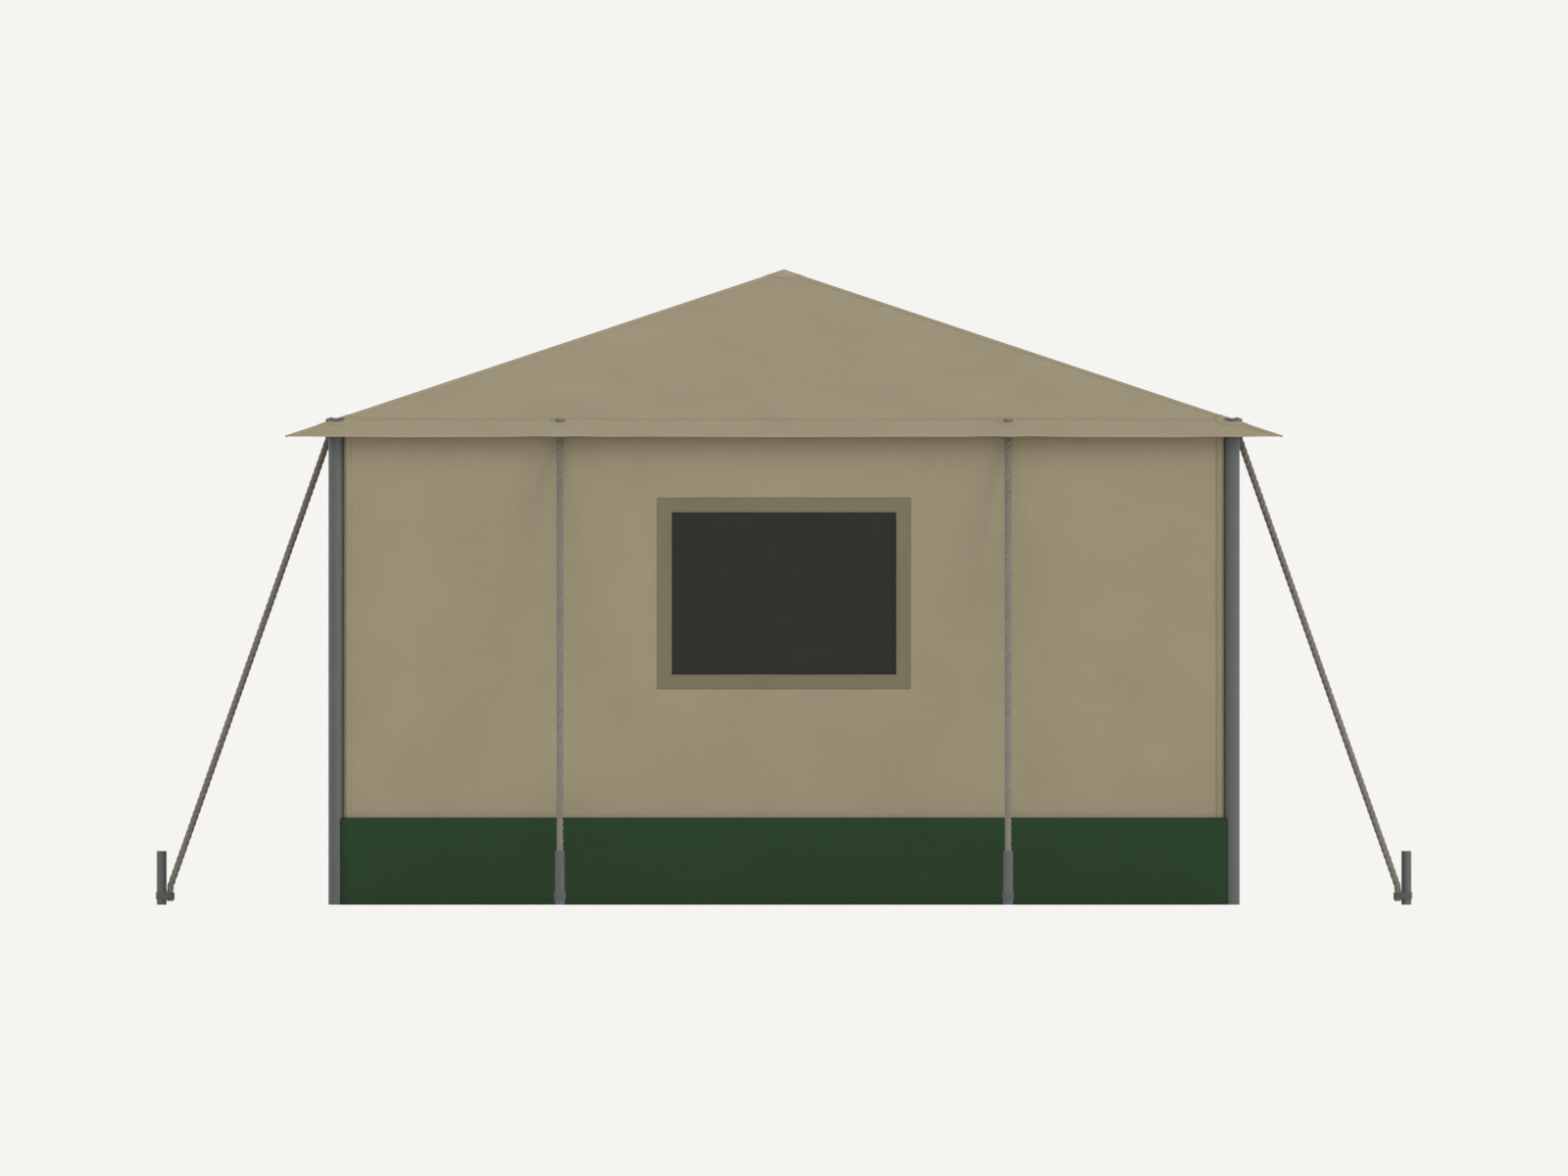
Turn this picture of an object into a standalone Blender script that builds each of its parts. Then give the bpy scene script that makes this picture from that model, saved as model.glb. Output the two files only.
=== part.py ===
"""Square canvas frame tent with a low pyramid roof, in metres, +Z up.

The origin is on the ground under the roof's peak. The front wall faces -Y.
Each side of the tent is made in the front side's place and turned about Z.
"""

from math import acos, atan2, cos, hypot, pi, radians, sin, sqrt

import bmesh
import bpy
from mathutils import Matrix, Vector

# Tent body
POST_LINE = 1.500  # from the peak's axis to the posts' axes, each way
EAVE_LINE_Z = 1.625  # where the roof's top face crosses the post line
PEAK_Z = 2.125
EAVE_HALF = 1.668  # half the roof's width at its lower edge
CANVAS = 0.002
GAP = 0.0003  # left between pieces that touch
CLEAR = 0.0005  # left between cloth and the frame beside it

# Frame tubes
POST_R = 0.025
POST_WALL = 0.0016
RAIL_R = 0.011
RAIL_WALL = 0.0015
POST_TOP_Z = 1.585
CAP_TOP_Z = 1.629
CAP_CHAMFER = 0.003
POST_PLUG = 0.050  # how far the corner fitting goes into its post
FOOT_RIM = 0.010
FOOT_PLUG = 0.040
RAIL_ARM = 0.050  # from a post's axis to where its rails start
RAFTER_ARM = 0.060  # from a post's axis, or the crown's, to where a rafter starts
ARM_PLUG = 0.045  # how far an arm goes into its tube
CROWN_R = 0.035
CROWN_DEPTH = 0.050

# Window, one in the front wall and one in each side wall
WINDOW_W = 0.751
WINDOW_H = 0.543
WINDOW_Z = 1.0417  # height of its centre
BORDER_W = 0.0492
BORDER_T = 0.0015
MESH_LAP = 0.020  # how far the mesh runs past the opening
MESH_T = 0.0008
CURTAIN_W = 0.830
CURTAIN_H = 0.620
CURTAIN_T = 0.0015
CURTAIN_DROP = 0.030  # from the opening's lower edge to the curtain's seam
CURTAIN_LINE = 1.4955  # its seam's distance from the peak's axis
SEAM_GAP = 0.002  # from a seam's axis to the turning cloth's edge

# Skirt along the foot of the walls
SKIRT_TOP_Z = 0.2916
SKIRT_PROUD = 0.0225
SKIRT_HALF = 1.484  # half its length along its face
SKIRT_SEAM_HALF = 1.467  # half its length at the wall
SKIRT_FOOT_Z = 0.001
DOOR_SKIRT_X = 0.500  # where the back skirt's two pieces end, beside the door

# Door in the back wall
DOOR_HALF = 0.420
DOOR_SILL_Z = 0.060
DOOR_HEAD_Z = 1.450
FLAP_HALF = 0.450
FLAP_FOOT_Z = 0.030
FLAP_HEAD_Z = 1.480
FLAP_LINE = 1.5055  # its mid plane's distance from the peak's axis
ZIP_W = 0.018
ZIP_T = 0.0012
ZIP_END = 0.010  # from the flap's ends to the zip's
SLIDER_W = 0.012
SLIDER_H = 0.022
SLIDER_T = 0.006
SLIDER_LOW = 0.070  # from the zip's lower end to the slider's middle
PULL_W = 0.008
PULL_H = 0.036
PULL_T = 0.0016

# Walls and floor
WALL_HALF = 1.4735
WALL_FOOT_Z = 0.003
FLOOR_HALF = 1.4945
FLOOR_CORNER = 0.040

# Guy ropes and stakes, two a side
GUY_X = 0.750
ROPE_R = 0.0115
EYELET_LINE = 1.520  # an eyelet's distance from the peak's axis
EYELET_R = 0.0122
STOPPER_R = 0.0145
STOPPER_H = 0.012
ROPE_STRAIGHT = 0.008  # below the eyelet, before the rope bends
ROPE_BEND_R = 0.050
STAKE_LINE = 2.083
STAKE_R = 0.0165
STAKE_H = 0.180
STAKE_CHAMFER = 0.0015
TAIL_LINE = STAKE_LINE - STAKE_R - ROPE_R - 3 * GAP  # the rope's end, upright beside its stake
TAIL_TOP_Z = 0.060
TAIL_FOOT_Z = 0.012
LASHING_T = 0.003
LASHING_Z = 0.018
LASHING_H = 0.024

SLOPE = (PEAK_Z - EAVE_LINE_Z) / POST_LINE
PITCH = atan2(SLOPE, 1)
UNDER = CANVAS / cos(PITCH)  # the roof cloth's thickness, measured upright
TUBE_DROP = (RAIL_R + CLEAR) / cos(PITCH)  # a tube's axis below the cloth over it
RAIL_LINE = POST_LINE - CANVAS - CLEAR - RAIL_R
HIP_RUN = POST_LINE * sqrt(2)
HIP_ANGLE = atan2(PEAK_Z - EAVE_LINE_Z, HIP_RUN)

CORNERS = ("front_left", "front_right", "back_right", "back_left")
SIDES = ("front", "right", "back", "left")
SIDE_ENDS = {
    "front": ("left", "right"),
    "right": ("front", "back"),
    "back": ("right", "left"),
    "left": ("back", "front"),
}
ROUND = 24
SMALL_ROUND = 16

FINISHES = {
    # name: (base colour, roughness, metallic)
    "roof_canvas": ((0.32, 0.27, 0.19), 0.90, 0.0),
    "wall_canvas": ((0.30, 0.26, 0.18), 0.90, 0.0),
    "border_canvas": ((0.19, 0.165, 0.11), 0.90, 0.0),
    "insect_mesh": ((0.033, 0.033, 0.029), 0.80, 0.0),
    "skirt_cloth": ((0.023, 0.048, 0.022), 0.70, 0.0),
    "floor_cloth": ((0.08, 0.09, 0.08), 0.60, 0.0),
    "steel": ((0.13, 0.13, 0.14), 0.45, 0.0),  # powder coated
    "plastic": ((0.12, 0.12, 0.125), 0.50, 0.0),
    "zip": ((0.10, 0.085, 0.06), 0.60, 0.0),
    "brass": ((0.50, 0.36, 0.16), 0.35, 1.0),
    "rope": ((0.22, 0.20, 0.17), 0.95, 0.0),
}


def clear_scene():
    """Removes every object that the file opened with."""
    for thing in list(bpy.data.objects):
        bpy.data.objects.remove(thing, do_unlink=True)


def new_collection(name):
    """An empty collection, linked to the scene."""
    made = bpy.data.collections.new(name)
    bpy.context.scene.collection.children.link(made)
    return made


def finish(name):
    """The material of that name, made on its first use."""
    found = bpy.data.materials.get(name)
    if found:
        return found
    colour, roughness, metallic = FINISHES[name]
    made = bpy.data.materials.new(name)
    made.use_nodes = True
    shader = made.node_tree.nodes["Principled BSDF"]
    shader.inputs["Base Color"].default_value = (*colour, 1.0)
    shader.inputs["Roughness"].default_value = roughness
    shader.inputs["Metallic"].default_value = metallic
    made.diffuse_color = (*colour, 1.0)
    return made


def add(name, mesh, material, collection, place=Matrix.Identity(4)):
    """Links a mesh as one named object at a place."""
    made = bpy.data.objects.new(name, mesh)
    made.matrix_world = place
    if not mesh.materials:
        mesh.materials.append(finish(material))
    collection.objects.link(made)
    return made


def add_child(name, mesh, material, collection, empty, place):
    """Links a turning piece under the empty on its joint's axis."""
    made = add(name, mesh, material, collection)
    made.parent = empty
    made.matrix_world = place
    return made


def joint_empty(name, where):
    """An empty on a joint's axis, which its turning pieces hang on."""
    made = bpy.data.objects.new(name, None)
    made.location = where
    made.empty_display_size = 0.1
    parts.objects.link(made)
    bpy.context.view_layer.update()
    return made


def side_turn(side):
    """The turn about Z from the front side to another."""
    return Matrix.Rotation(SIDES.index(side) * pi / 2, 4, "Z")


def corner_turn(corner):
    """The turn about Z from the front left corner to another."""
    return Matrix.Rotation(CORNERS.index(corner) * pi / 2, 4, "Z")


def roof_top(reach):
    """Height of the roof's top face at a distance from the peak's axis."""
    return PEAK_Z - reach * SLOPE


def smooth(mesh, angle=radians(35)):
    """Shades a mesh smooth, apart from its corners."""
    mesh.shade_smooth()
    mesh.set_sharp_from_angle(angle=angle)
    return mesh


def evaluated(thing):
    """The mesh of an object with its modifiers, and the object removed."""
    bpy.context.view_layer.update()
    source = thing.evaluated_get(bpy.context.evaluated_depsgraph_get())
    mesh = bpy.data.meshes.new_from_object(source)
    mesh.transform(thing.matrix_world)
    edit = bmesh.new()
    edit.from_mesh(mesh)
    bmesh.ops.remove_doubles(edit, verts=edit.verts, dist=0.00001)
    edit.to_mesh(mesh)
    edit.free()
    bpy.data.objects.remove(thing, do_unlink=True)
    return mesh


def rod(radius, start, end, sides=SMALL_ROUND):
    """A solid round bar between two points."""
    start = Vector(start)
    end = Vector(end)
    run = end - start
    turn = run.to_track_quat("Z", "Y").to_matrix().to_4x4()
    edit = bmesh.new()
    bmesh.ops.create_cone(
        edit,
        cap_ends=True,
        segments=sides,
        radius1=radius,
        radius2=radius,
        depth=run.length,
        matrix=Matrix.Translation((start + end) / 2) @ turn,
    )
    mesh = bpy.data.meshes.new("rod")
    edit.to_mesh(mesh)
    edit.free()
    return mesh


def tube(radius, wall, start, end, sides):
    """An open-ended tube between two points: an open sleeve made thick inwards."""
    start = Vector(start)
    end = Vector(end)
    run = end - start
    edit = bmesh.new()
    bmesh.ops.create_cone(
        edit,
        cap_ends=False,
        segments=sides,
        radius1=radius,
        radius2=radius,
        depth=run.length,
    )
    mesh = bpy.data.meshes.new("tube")
    edit.to_mesh(mesh)
    edit.free()
    made = bpy.data.objects.new("tube", mesh)
    turn = run.to_track_quat("Z", "Y").to_matrix().to_4x4()
    made.matrix_world = Matrix.Translation((start + end) / 2) @ turn
    bpy.context.scene.collection.objects.link(made)
    thick = made.modifiers.new("wall", "SOLIDIFY")
    thick.thickness = wall
    thick.offset = -1
    thick.use_even_offset = True
    return smooth(evaluated(made))


def turned(profile, steps=ROUND):
    """A solid turned about Z from (radius, height) points, top to bottom down its outer side."""
    mesh = bpy.data.meshes.new("turned")
    edges = [(i, i + 1) for i in range(len(profile) - 1)]
    mesh.from_pydata([(r, 0.0, z) for r, z in profile], edges, [])
    made = bpy.data.objects.new("turned", mesh)
    bpy.context.scene.collection.objects.link(made)
    screw = made.modifiers.new("turn", "SCREW")
    screw.steps = steps
    screw.render_steps = steps
    screw.use_merge_vertices = True
    screw.merge_threshold = 0.0001
    return smooth(evaluated(made))


def joined(first, others):
    """One mesh from meshes that run into each other."""
    made = bpy.data.objects.new("joined", first)
    bpy.context.scene.collection.objects.link(made)
    guides = []
    for i, mesh in enumerate(others):
        guide = bpy.data.objects.new(f"join_{i}", mesh)
        guide.hide_render = True
        guide.display_type = "WIRE"
        cutters.objects.link(guide)
        union = made.modifiers.new(f"join_{i}", "BOOLEAN")
        union.operation = "UNION"
        union.object = guide
        guides.append(guide)
    mesh = evaluated(made)
    for guide in guides:
        bpy.data.objects.remove(guide, do_unlink=True)
    return smooth(mesh)


def outline_plate(loops, thickness):
    """A flat sheet in the XZ plane from closed outlines; later outlines are holes in the first."""
    curve = bpy.data.curves.new("plate", "CURVE")
    curve.dimensions = "2D"
    curve.fill_mode = "BOTH"
    curve.extrude = thickness / 2
    for loop in loops:
        spline = curve.splines.new("POLY")
        spline.points.add(len(loop) - 1)
        for point, (x, z) in zip(spline.points, loop):
            point.co = (x, z, 0.0, 1.0)
        spline.use_cyclic_u = True
    made = bpy.data.objects.new("plate", curve)
    made.rotation_euler = (pi / 2, 0.0, 0.0)
    bpy.context.scene.collection.objects.link(made)
    return evaluated(made)


def rectangle(low_x, high_x, low_z, high_z):
    """A rectangle's corners, in order."""
    return [(low_x, low_z), (high_x, low_z), (high_x, high_z), (low_x, high_z)]


def rope_tube(points, radius):
    """A rope as a round curve through points."""
    curve = bpy.data.curves.new("rope", "CURVE")
    curve.dimensions = "3D"
    curve.bevel_depth = radius
    curve.bevel_resolution = 2
    curve.use_fill_caps = True
    spline = curve.splines.new("POLY")
    spline.points.add(len(points) - 1)
    for point, where in zip(spline.points, points):
        point.co = (*where, 1.0)
    made = bpy.data.objects.new("rope", curve)
    bpy.context.scene.collection.objects.link(made)
    return evaluated(made)


def make_posts():
    """Post, foot and corner fitting at each corner."""
    post = tube(POST_R, POST_WALL, (0, 0, FOOT_RIM + GAP), (0, 0, POST_TOP_Z), ROUND)
    bore = POST_R - POST_WALL - GAP
    foot = turned(
        [
            (0.0, FOOT_RIM + FOOT_PLUG),
            (bore, FOOT_RIM + FOOT_PLUG),
            (bore, FOOT_RIM),
            (POST_R, FOOT_RIM),
            (POST_R, 0.0),
            (0.0, 0.0),
        ]
    )
    fitting = corner_fitting(bore)
    corner = Matrix.Translation((-POST_LINE, -POST_LINE, 0.0))
    for name in CORNERS:
        place = corner_turn(name) @ corner
        add(f"post_{name}", post, "steel", parts, place)
        add(f"foot_{name}", foot, "plastic", parts, place)
        add(f"corner_fitting_{name}", fitting, "steel", parts, place)


def corner_fitting(bore):
    """The front left fitting about its post's axis: plug, head and three arms."""
    head = turned(
        [
            (0.0, CAP_TOP_Z),
            (POST_R - CAP_CHAMFER, CAP_TOP_Z),
            (POST_R, CAP_TOP_Z - CAP_CHAMFER),
            (POST_R, POST_TOP_Z + GAP),
            (bore, POST_TOP_Z + GAP),
            (bore, POST_TOP_Z - POST_PLUG),
            (0.0, POST_TOP_Z - POST_PLUG),
        ]
    )
    inset = POST_LINE - RAIL_LINE
    rail_z = rail_height()
    rafter_z = rafter_height()
    uphill = Vector((cos(HIP_ANGLE) / sqrt(2), cos(HIP_ANGLE) / sqrt(2), sin(HIP_ANGLE)))
    foot = Vector((0.0, 0.0, rafter_z))
    arms = [
        *arm(Vector((0.0, inset, rail_z)), Vector((1.0, 0.0, 0.0)), RAIL_ARM),
        *arm(Vector((inset, 0.0, rail_z)), Vector((0.0, 1.0, 0.0)), RAIL_ARM),
        *arm(foot, uphill, RAFTER_ARM),
    ]
    return joined(head, arms)


def arm(start, along, length):
    """A shoulder of the tube's own diameter, and the plug that goes into the tube."""
    plug_r = RAIL_R - RAIL_WALL - GAP
    return [
        rod(RAIL_R, start, start + along * length),
        rod(plug_r, start + along * RAIL_R, start + along * (length + ARM_PLUG)),
    ]


def rail_height():
    """Height of the eave rails' axes, just under the roof cloth."""
    return roof_top(RAIL_LINE) - UNDER - TUBE_DROP


def rafter_height():
    """Height of a hip rafter's axis over its post."""
    return roof_top(POST_LINE) - UNDER - TUBE_DROP


def make_frame():
    """Eave rails, hip rafters and the crown hub."""
    rail_end = POST_LINE - RAIL_ARM - GAP
    rail_z = rail_height()
    rail = tube(
        RAIL_R,
        RAIL_WALL,
        (-rail_end, -RAIL_LINE, rail_z),
        (rail_end, -RAIL_LINE, rail_z),
        SMALL_ROUND,
    )
    for side in SIDES:
        add(f"eave_rail_{side}", rail, "steel", parts, side_turn(side))

    uphill = Vector((cos(HIP_ANGLE) / sqrt(2), cos(HIP_ANGLE) / sqrt(2), sin(HIP_ANGLE)))
    low = Vector((-POST_LINE, -POST_LINE, rafter_height()))
    length = hypot(HIP_RUN, PEAK_Z - EAVE_LINE_Z)
    rafter = tube(
        RAIL_R,
        RAIL_WALL,
        low + uphill * (RAFTER_ARM + GAP),
        low + uphill * (length - RAFTER_ARM - GAP),
        SMALL_ROUND,
    )
    for corner in CORNERS:
        add(f"hip_rafter_{corner}", rafter, "steel", parts, corner_turn(corner))

    top = PEAK_Z - UNDER - CLEAR
    edge = top - CROWN_R * SLOPE
    hub = turned(
        [
            (0.0, top),
            (CROWN_R, edge),
            (CROWN_R, edge - CROWN_DEPTH),
            (0.0, edge - CROWN_DEPTH),
        ]
    )
    centre = Vector((0.0, 0.0, PEAK_Z - UNDER - TUBE_DROP))
    arms = []
    for quarter in range(4):
        turn = Matrix.Rotation(quarter * pi / 2, 3, "Z")
        arms += arm(centre, turn @ -uphill, RAFTER_ARM)
    add("crown_hub", joined(hub, arms), "steel", parts)


def make_roof():
    """The canopy: a four-sided cone, made thick inwards, with holes for caps and guys."""
    edit = bmesh.new()
    bmesh.ops.create_cone(
        edit,
        cap_ends=False,
        segments=4,
        radius1=EAVE_HALF * sqrt(2),
        radius2=0.0,
        depth=EAVE_HALF * SLOPE,
        matrix=Matrix.Translation((0, 0, PEAK_Z - EAVE_HALF * SLOPE / 2))
        @ Matrix.Rotation(pi / 4, 4, "Z"),
    )
    bmesh.ops.remove_doubles(edit, verts=edit.verts, dist=0.0001)
    mesh = bpy.data.meshes.new("roof_canopy")
    edit.to_mesh(mesh)
    edit.free()
    roof = add("roof_canopy", mesh, "roof_canvas", parts)
    thick = roof.modifiers.new("cloth", "SOLIDIFY")
    thick.thickness = CANVAS
    thick.offset = -1
    thick.use_even_offset = True

    reach = 3 * CANVAS
    normal = Vector((0.0, -sin(PITCH), cos(PITCH)))
    for side in SIDES:
        turn = side_turn(side)
        for hand in (-1, 1):
            eyelet = Vector((hand * GUY_X, -EYELET_LINE, roof_top(EYELET_LINE)))
            hole = rod(EYELET_R, eyelet - normal * reach, eyelet + normal * reach)
            cut(roof, hole, turn)
    for corner in CORNERS:
        post = Vector((-POST_LINE, -POST_LINE, 0.0))
        low = post + Vector((0, 0, POST_TOP_Z))
        high = post + Vector((0, 0, CAP_TOP_Z + reach))
        cut(roof, rod(POST_R + 3 * CLEAR, low, high, ROUND), corner_turn(corner))


def cut(thing, mesh, place):
    """Cuts a mesh out of an object."""
    cutter = bpy.data.objects.new(f"hole_{len(cutters.objects)}", mesh)
    cutter.matrix_world = place
    cutter.hide_render = True
    cutter.display_type = "WIRE"
    cutters.objects.link(cutter)
    hole = thing.modifiers.new(cutter.name, "BOOLEAN")
    hole.operation = "DIFFERENCE"
    hole.object = cutter


def make_walls():
    """Four walls: three with a window, and the back one with a door."""
    head = roof_top(POST_LINE) - UNDER - CLEAR
    outline = rectangle(-WALL_HALF, WALL_HALF, WALL_FOOT_Z, head)
    window = window_outline(0.0)
    door = rectangle(-DOOR_HALF, DOOR_HALF, DOOR_SILL_Z, DOOR_HEAD_Z)
    window_wall = outline_plate([outline, window], CANVAS)
    door_wall = outline_plate([outline, door], CANVAS)
    line = Matrix.Translation((0, -POST_LINE + CANVAS / 2, 0))
    for side in SIDES:
        mesh = door_wall if side == "back" else window_wall
        add(f"wall_{side}", mesh, "wall_canvas", parts, side_turn(side) @ line)


def window_outline(grow):
    """The window's outline, made larger all round."""
    half = WINDOW_W / 2 + grow
    return rectangle(-half, half, WINDOW_Z - WINDOW_H / 2 - grow, WINDOW_Z + WINDOW_H / 2 + grow)


def make_windows():
    """Border outside, mesh inside, and the curtain that hangs from its lower seam."""
    border = outline_plate([window_outline(BORDER_W), window_outline(0.0)], BORDER_T)
    screen = outline_plate([window_outline(MESH_LAP)], MESH_T)
    half = CURTAIN_W / 2
    curtain = outline_plate([rectangle(-half, half, -SEAM_GAP - CURTAIN_H, -SEAM_GAP)], CURTAIN_T)
    seam_z = WINDOW_Z - WINDOW_H / 2 - CURTAIN_DROP
    border_line = Matrix.Translation((0, -POST_LINE - GAP - BORDER_T / 2, 0))
    screen_line = Matrix.Translation((0, -POST_LINE + CANVAS + GAP + MESH_T / 2, 0))
    seam = Matrix.Translation((0, -CURTAIN_LINE, seam_z))
    for side in ("front", "right", "left"):
        turn = side_turn(side)
        add(f"window_border_{side}", border, "border_canvas", parts, turn @ border_line)
        add(f"window_mesh_{side}", screen, "insect_mesh", parts, turn @ screen_line)
        empty = joint_empty(f"curtain_seam_{side}", (turn @ seam).translation)
        add_child(f"window_curtain_{side}", curtain, "wall_canvas", parts, empty, turn @ seam)


def skirt(low_x, high_x, low_seam_x, high_seam_x):
    """A band that drops from its seam on the wall's face, a little proud of it."""
    face = -POST_LINE - SKIRT_PROUD
    seam = -POST_LINE - 3 * GAP
    edit = bmesh.new()
    bmesh.ops.create_grid(edit, x_segments=1, y_segments=2, size=1.0)
    rows = (
        (low_x, high_x, face, SKIRT_FOOT_Z),
        (low_x, high_x, face, SKIRT_TOP_Z),
        (low_seam_x, high_seam_x, seam, SKIRT_TOP_Z),
    )
    for point in edit.verts:
        low, high, y, z = rows[round(point.co.y) + 1]
        point.co = (low if point.co.x < 0 else high, y, z)
    mesh = bpy.data.meshes.new("skirt")
    edit.to_mesh(mesh)
    edit.free()
    made = bpy.data.objects.new("skirt", mesh)
    bpy.context.scene.collection.objects.link(made)
    thick = made.modifiers.new("cloth", "SOLIDIFY")
    thick.thickness = CANVAS
    thick.offset = -1
    thick.use_even_offset = True
    return evaluated(made)


def make_skirts():
    """One band a side, and two at the back, beside the door."""
    whole = skirt(-SKIRT_HALF, SKIRT_HALF, -SKIRT_SEAM_HALF, SKIRT_SEAM_HALF)
    for side in ("front", "right", "left"):
        add(f"skirt_{side}", whole, "skirt_cloth", parts, side_turn(side))
    turn = side_turn("back")
    one = skirt(-SKIRT_HALF, -DOOR_SKIRT_X, -SKIRT_SEAM_HALF, -DOOR_SKIRT_X)
    other = skirt(DOOR_SKIRT_X, SKIRT_HALF, DOOR_SKIRT_X, SKIRT_SEAM_HALF)
    add("skirt_back_right", one, "skirt_cloth", parts, turn)
    add("skirt_back_left", other, "skirt_cloth", parts, turn)


def make_door():
    """The flap turns about its sewn side, at -X, and the slider runs on its zip."""
    hinge = Matrix.Translation((-FLAP_HALF, FLAP_LINE, 0.0))
    empty = joint_empty("door_seam", hinge.translation)
    flap = outline_plate(
        [rectangle(SEAM_GAP, 2 * FLAP_HALF, FLAP_FOOT_Z, FLAP_HEAD_Z)], CANVAS
    )
    add_child("door_flap", flap, "wall_canvas", parts, empty, hinge)

    # The zip runs along the flap's free edge, with its middle on that edge.
    zip_low = FLAP_FOOT_Z + ZIP_END
    tape = outline_plate(
        [rectangle(-ZIP_W / 2, ZIP_W / 2, zip_low, FLAP_HEAD_Z - ZIP_END)], ZIP_T
    )
    tape_y = FLAP_LINE + CANVAS / 2 + GAP + ZIP_T / 2
    place = Matrix.Translation((FLAP_HALF, tape_y, 0.0))
    add_child("door_zip", tape, "zip", parts, empty, place)

    slider_y = tape_y + ZIP_T / 2 + GAP + SLIDER_T / 2
    slider_z = zip_low + SLIDER_LOW
    pull_y = SLIDER_T / 2 - PULL_T / 2
    pull = block((0.0, pull_y, -PULL_H / 2), (PULL_W, PULL_T, PULL_H))
    body = joined(block((0.0, 0.0, 0.0), (SLIDER_W, SLIDER_T, SLIDER_H)), [pull])
    place = Matrix.Translation((FLAP_HALF, slider_y, slider_z))
    add_child("zip_slider", body, "brass", parts, empty, place)


def block(centre, size):
    """A box by its centre and its size."""
    edit = bmesh.new()
    bmesh.ops.create_cube(edit, size=1.0)
    bmesh.ops.scale(edit, vec=size, verts=edit.verts)
    bmesh.ops.translate(edit, vec=centre, verts=edit.verts)
    mesh = bpy.data.meshes.new("block")
    edit.to_mesh(mesh)
    edit.free()
    return mesh


def make_floor():
    """The groundsheet, its corners cut off to clear the posts."""
    near = FLOOR_HALF - FLOOR_CORNER
    far = FLOOR_HALF
    loop = []
    for a, b in ((1, 1), (-1, 1), (-1, -1), (1, -1)):
        ends = [(a * far, b * near), (a * near, b * far)]
        loop += ends if a * b > 0 else ends[::-1]
    sheet = outline_plate([loop], CANVAS)
    flat = Matrix.Translation((0, 0, CANVAS / 2)) @ Matrix.Rotation(-pi / 2, 4, "X")
    add("groundsheet", sheet, "floor_cloth", parts, flat)


def guy_route():
    """The rope's middle line in the front side's YZ plane, from over its eyelet to its end."""
    down = Vector((0.0, sin(PITCH), -cos(PITCH)))
    eyelet = Vector((0.0, -EYELET_LINE, roof_top(EYELET_LINE)))
    start = eyelet + down * ROPE_STRAIGHT
    tail = Vector((0.0, -TAIL_LINE, TAIL_TOP_Z))
    lean = atan2(start.y - tail.y, start.z - tail.z)
    points = [eyelet - down * STOPPER_H / 2, start]
    steps = 6
    for i in range(steps):
        # Each step turns the rope further from the roof's normal towards the stake.
        angle = -PITCH + (lean + PITCH) * (i + 0.5) / steps
        run = ROPE_BEND_R * (lean + PITCH) / steps
        points.append(points[-1] + Vector((0.0, -sin(angle), -cos(angle))) * run)
    points += [tail, Vector((0.0, -TAIL_LINE, TAIL_FOOT_Z))]
    return points


def lashing():
    """A band of twine round the stake and the rope's end beside it, with a hole for the stake."""
    far = STAKE_R + GAP + LASHING_T
    near = ROPE_R + LASHING_T
    # The band's straight sides touch both rounds at this angle from the line between them.
    lap = acos((far - near) / (STAKE_LINE - TAIL_LINE))
    outline = arc(-TAIL_LINE, near, -lap, lap) + arc(-STAKE_LINE, far, lap, 2 * pi - lap)
    hole = arc(-STAKE_LINE, STAKE_R + 2 * GAP, 0.0, 2 * pi, 24)[:-1]
    band = outline_plate([outline, hole], LASHING_H)
    middle = LASHING_Z + LASHING_H / 2
    band.transform(Matrix.Translation((0, 0, middle)) @ Matrix.Rotation(-pi / 2, 4, "X"))
    return band


def arc(centre_y, radius, start, end, steps=12):
    """Points in plan round a centre on the Y axis, by their angle from +Y."""
    angles = [start + (end - start) * i / steps for i in range(steps + 1)]
    return [(radius * sin(angle), centre_y + radius * cos(angle)) for angle in angles]


def make_guys():
    """A rope and a stake at both quarter points of each side."""
    normal = Vector((0.0, -sin(PITCH), cos(PITCH)))
    eyelet = Vector((0.0, -EYELET_LINE, roof_top(EYELET_LINE)))
    low = eyelet + normal * GAP
    stopper = rod(STOPPER_R, low, low + normal * STOPPER_H)
    rope = joined(rope_tube(guy_route(), ROPE_R), [stopper, lashing()])
    stake = turned(
        [
            (0.0, STAKE_H),
            (STAKE_R - STAKE_CHAMFER, STAKE_H),
            (STAKE_R, STAKE_H - STAKE_CHAMFER),
            (STAKE_R, 0.0),
            (0.0, 0.0),
        ],
        SMALL_ROUND,
    )
    foot = Matrix.Translation((0, -STAKE_LINE, 0))
    for side in SIDES:
        for end, hand in zip(SIDE_ENDS[side], (-1, 1)):
            place = side_turn(side) @ Matrix.Translation((hand * GUY_X, 0, 0))
            add(f"guy_rope_{side}_{end}", rope, "rope", parts, place)
            add(f"stake_{side}_{end}", stake, "steel", parts, place @ foot)


clear_scene()
parts = new_collection("family_tent")
cutters = new_collection("cutters")
make_posts()
make_frame()
make_roof()
make_walls()
make_windows()
make_skirts()
make_door()
make_floor()
make_guys()
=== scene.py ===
"""Looks of a square family tent in canvas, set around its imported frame.

Sizes are in metres, in the frame's own axes: +Z is up, and -Y is out through the
front wall. The pieces of a side are drawn as the front side's and turned about Z.
"""

import logging
import math
from collections.abc import Callable
from dataclasses import dataclass, field
from enum import Enum

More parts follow.
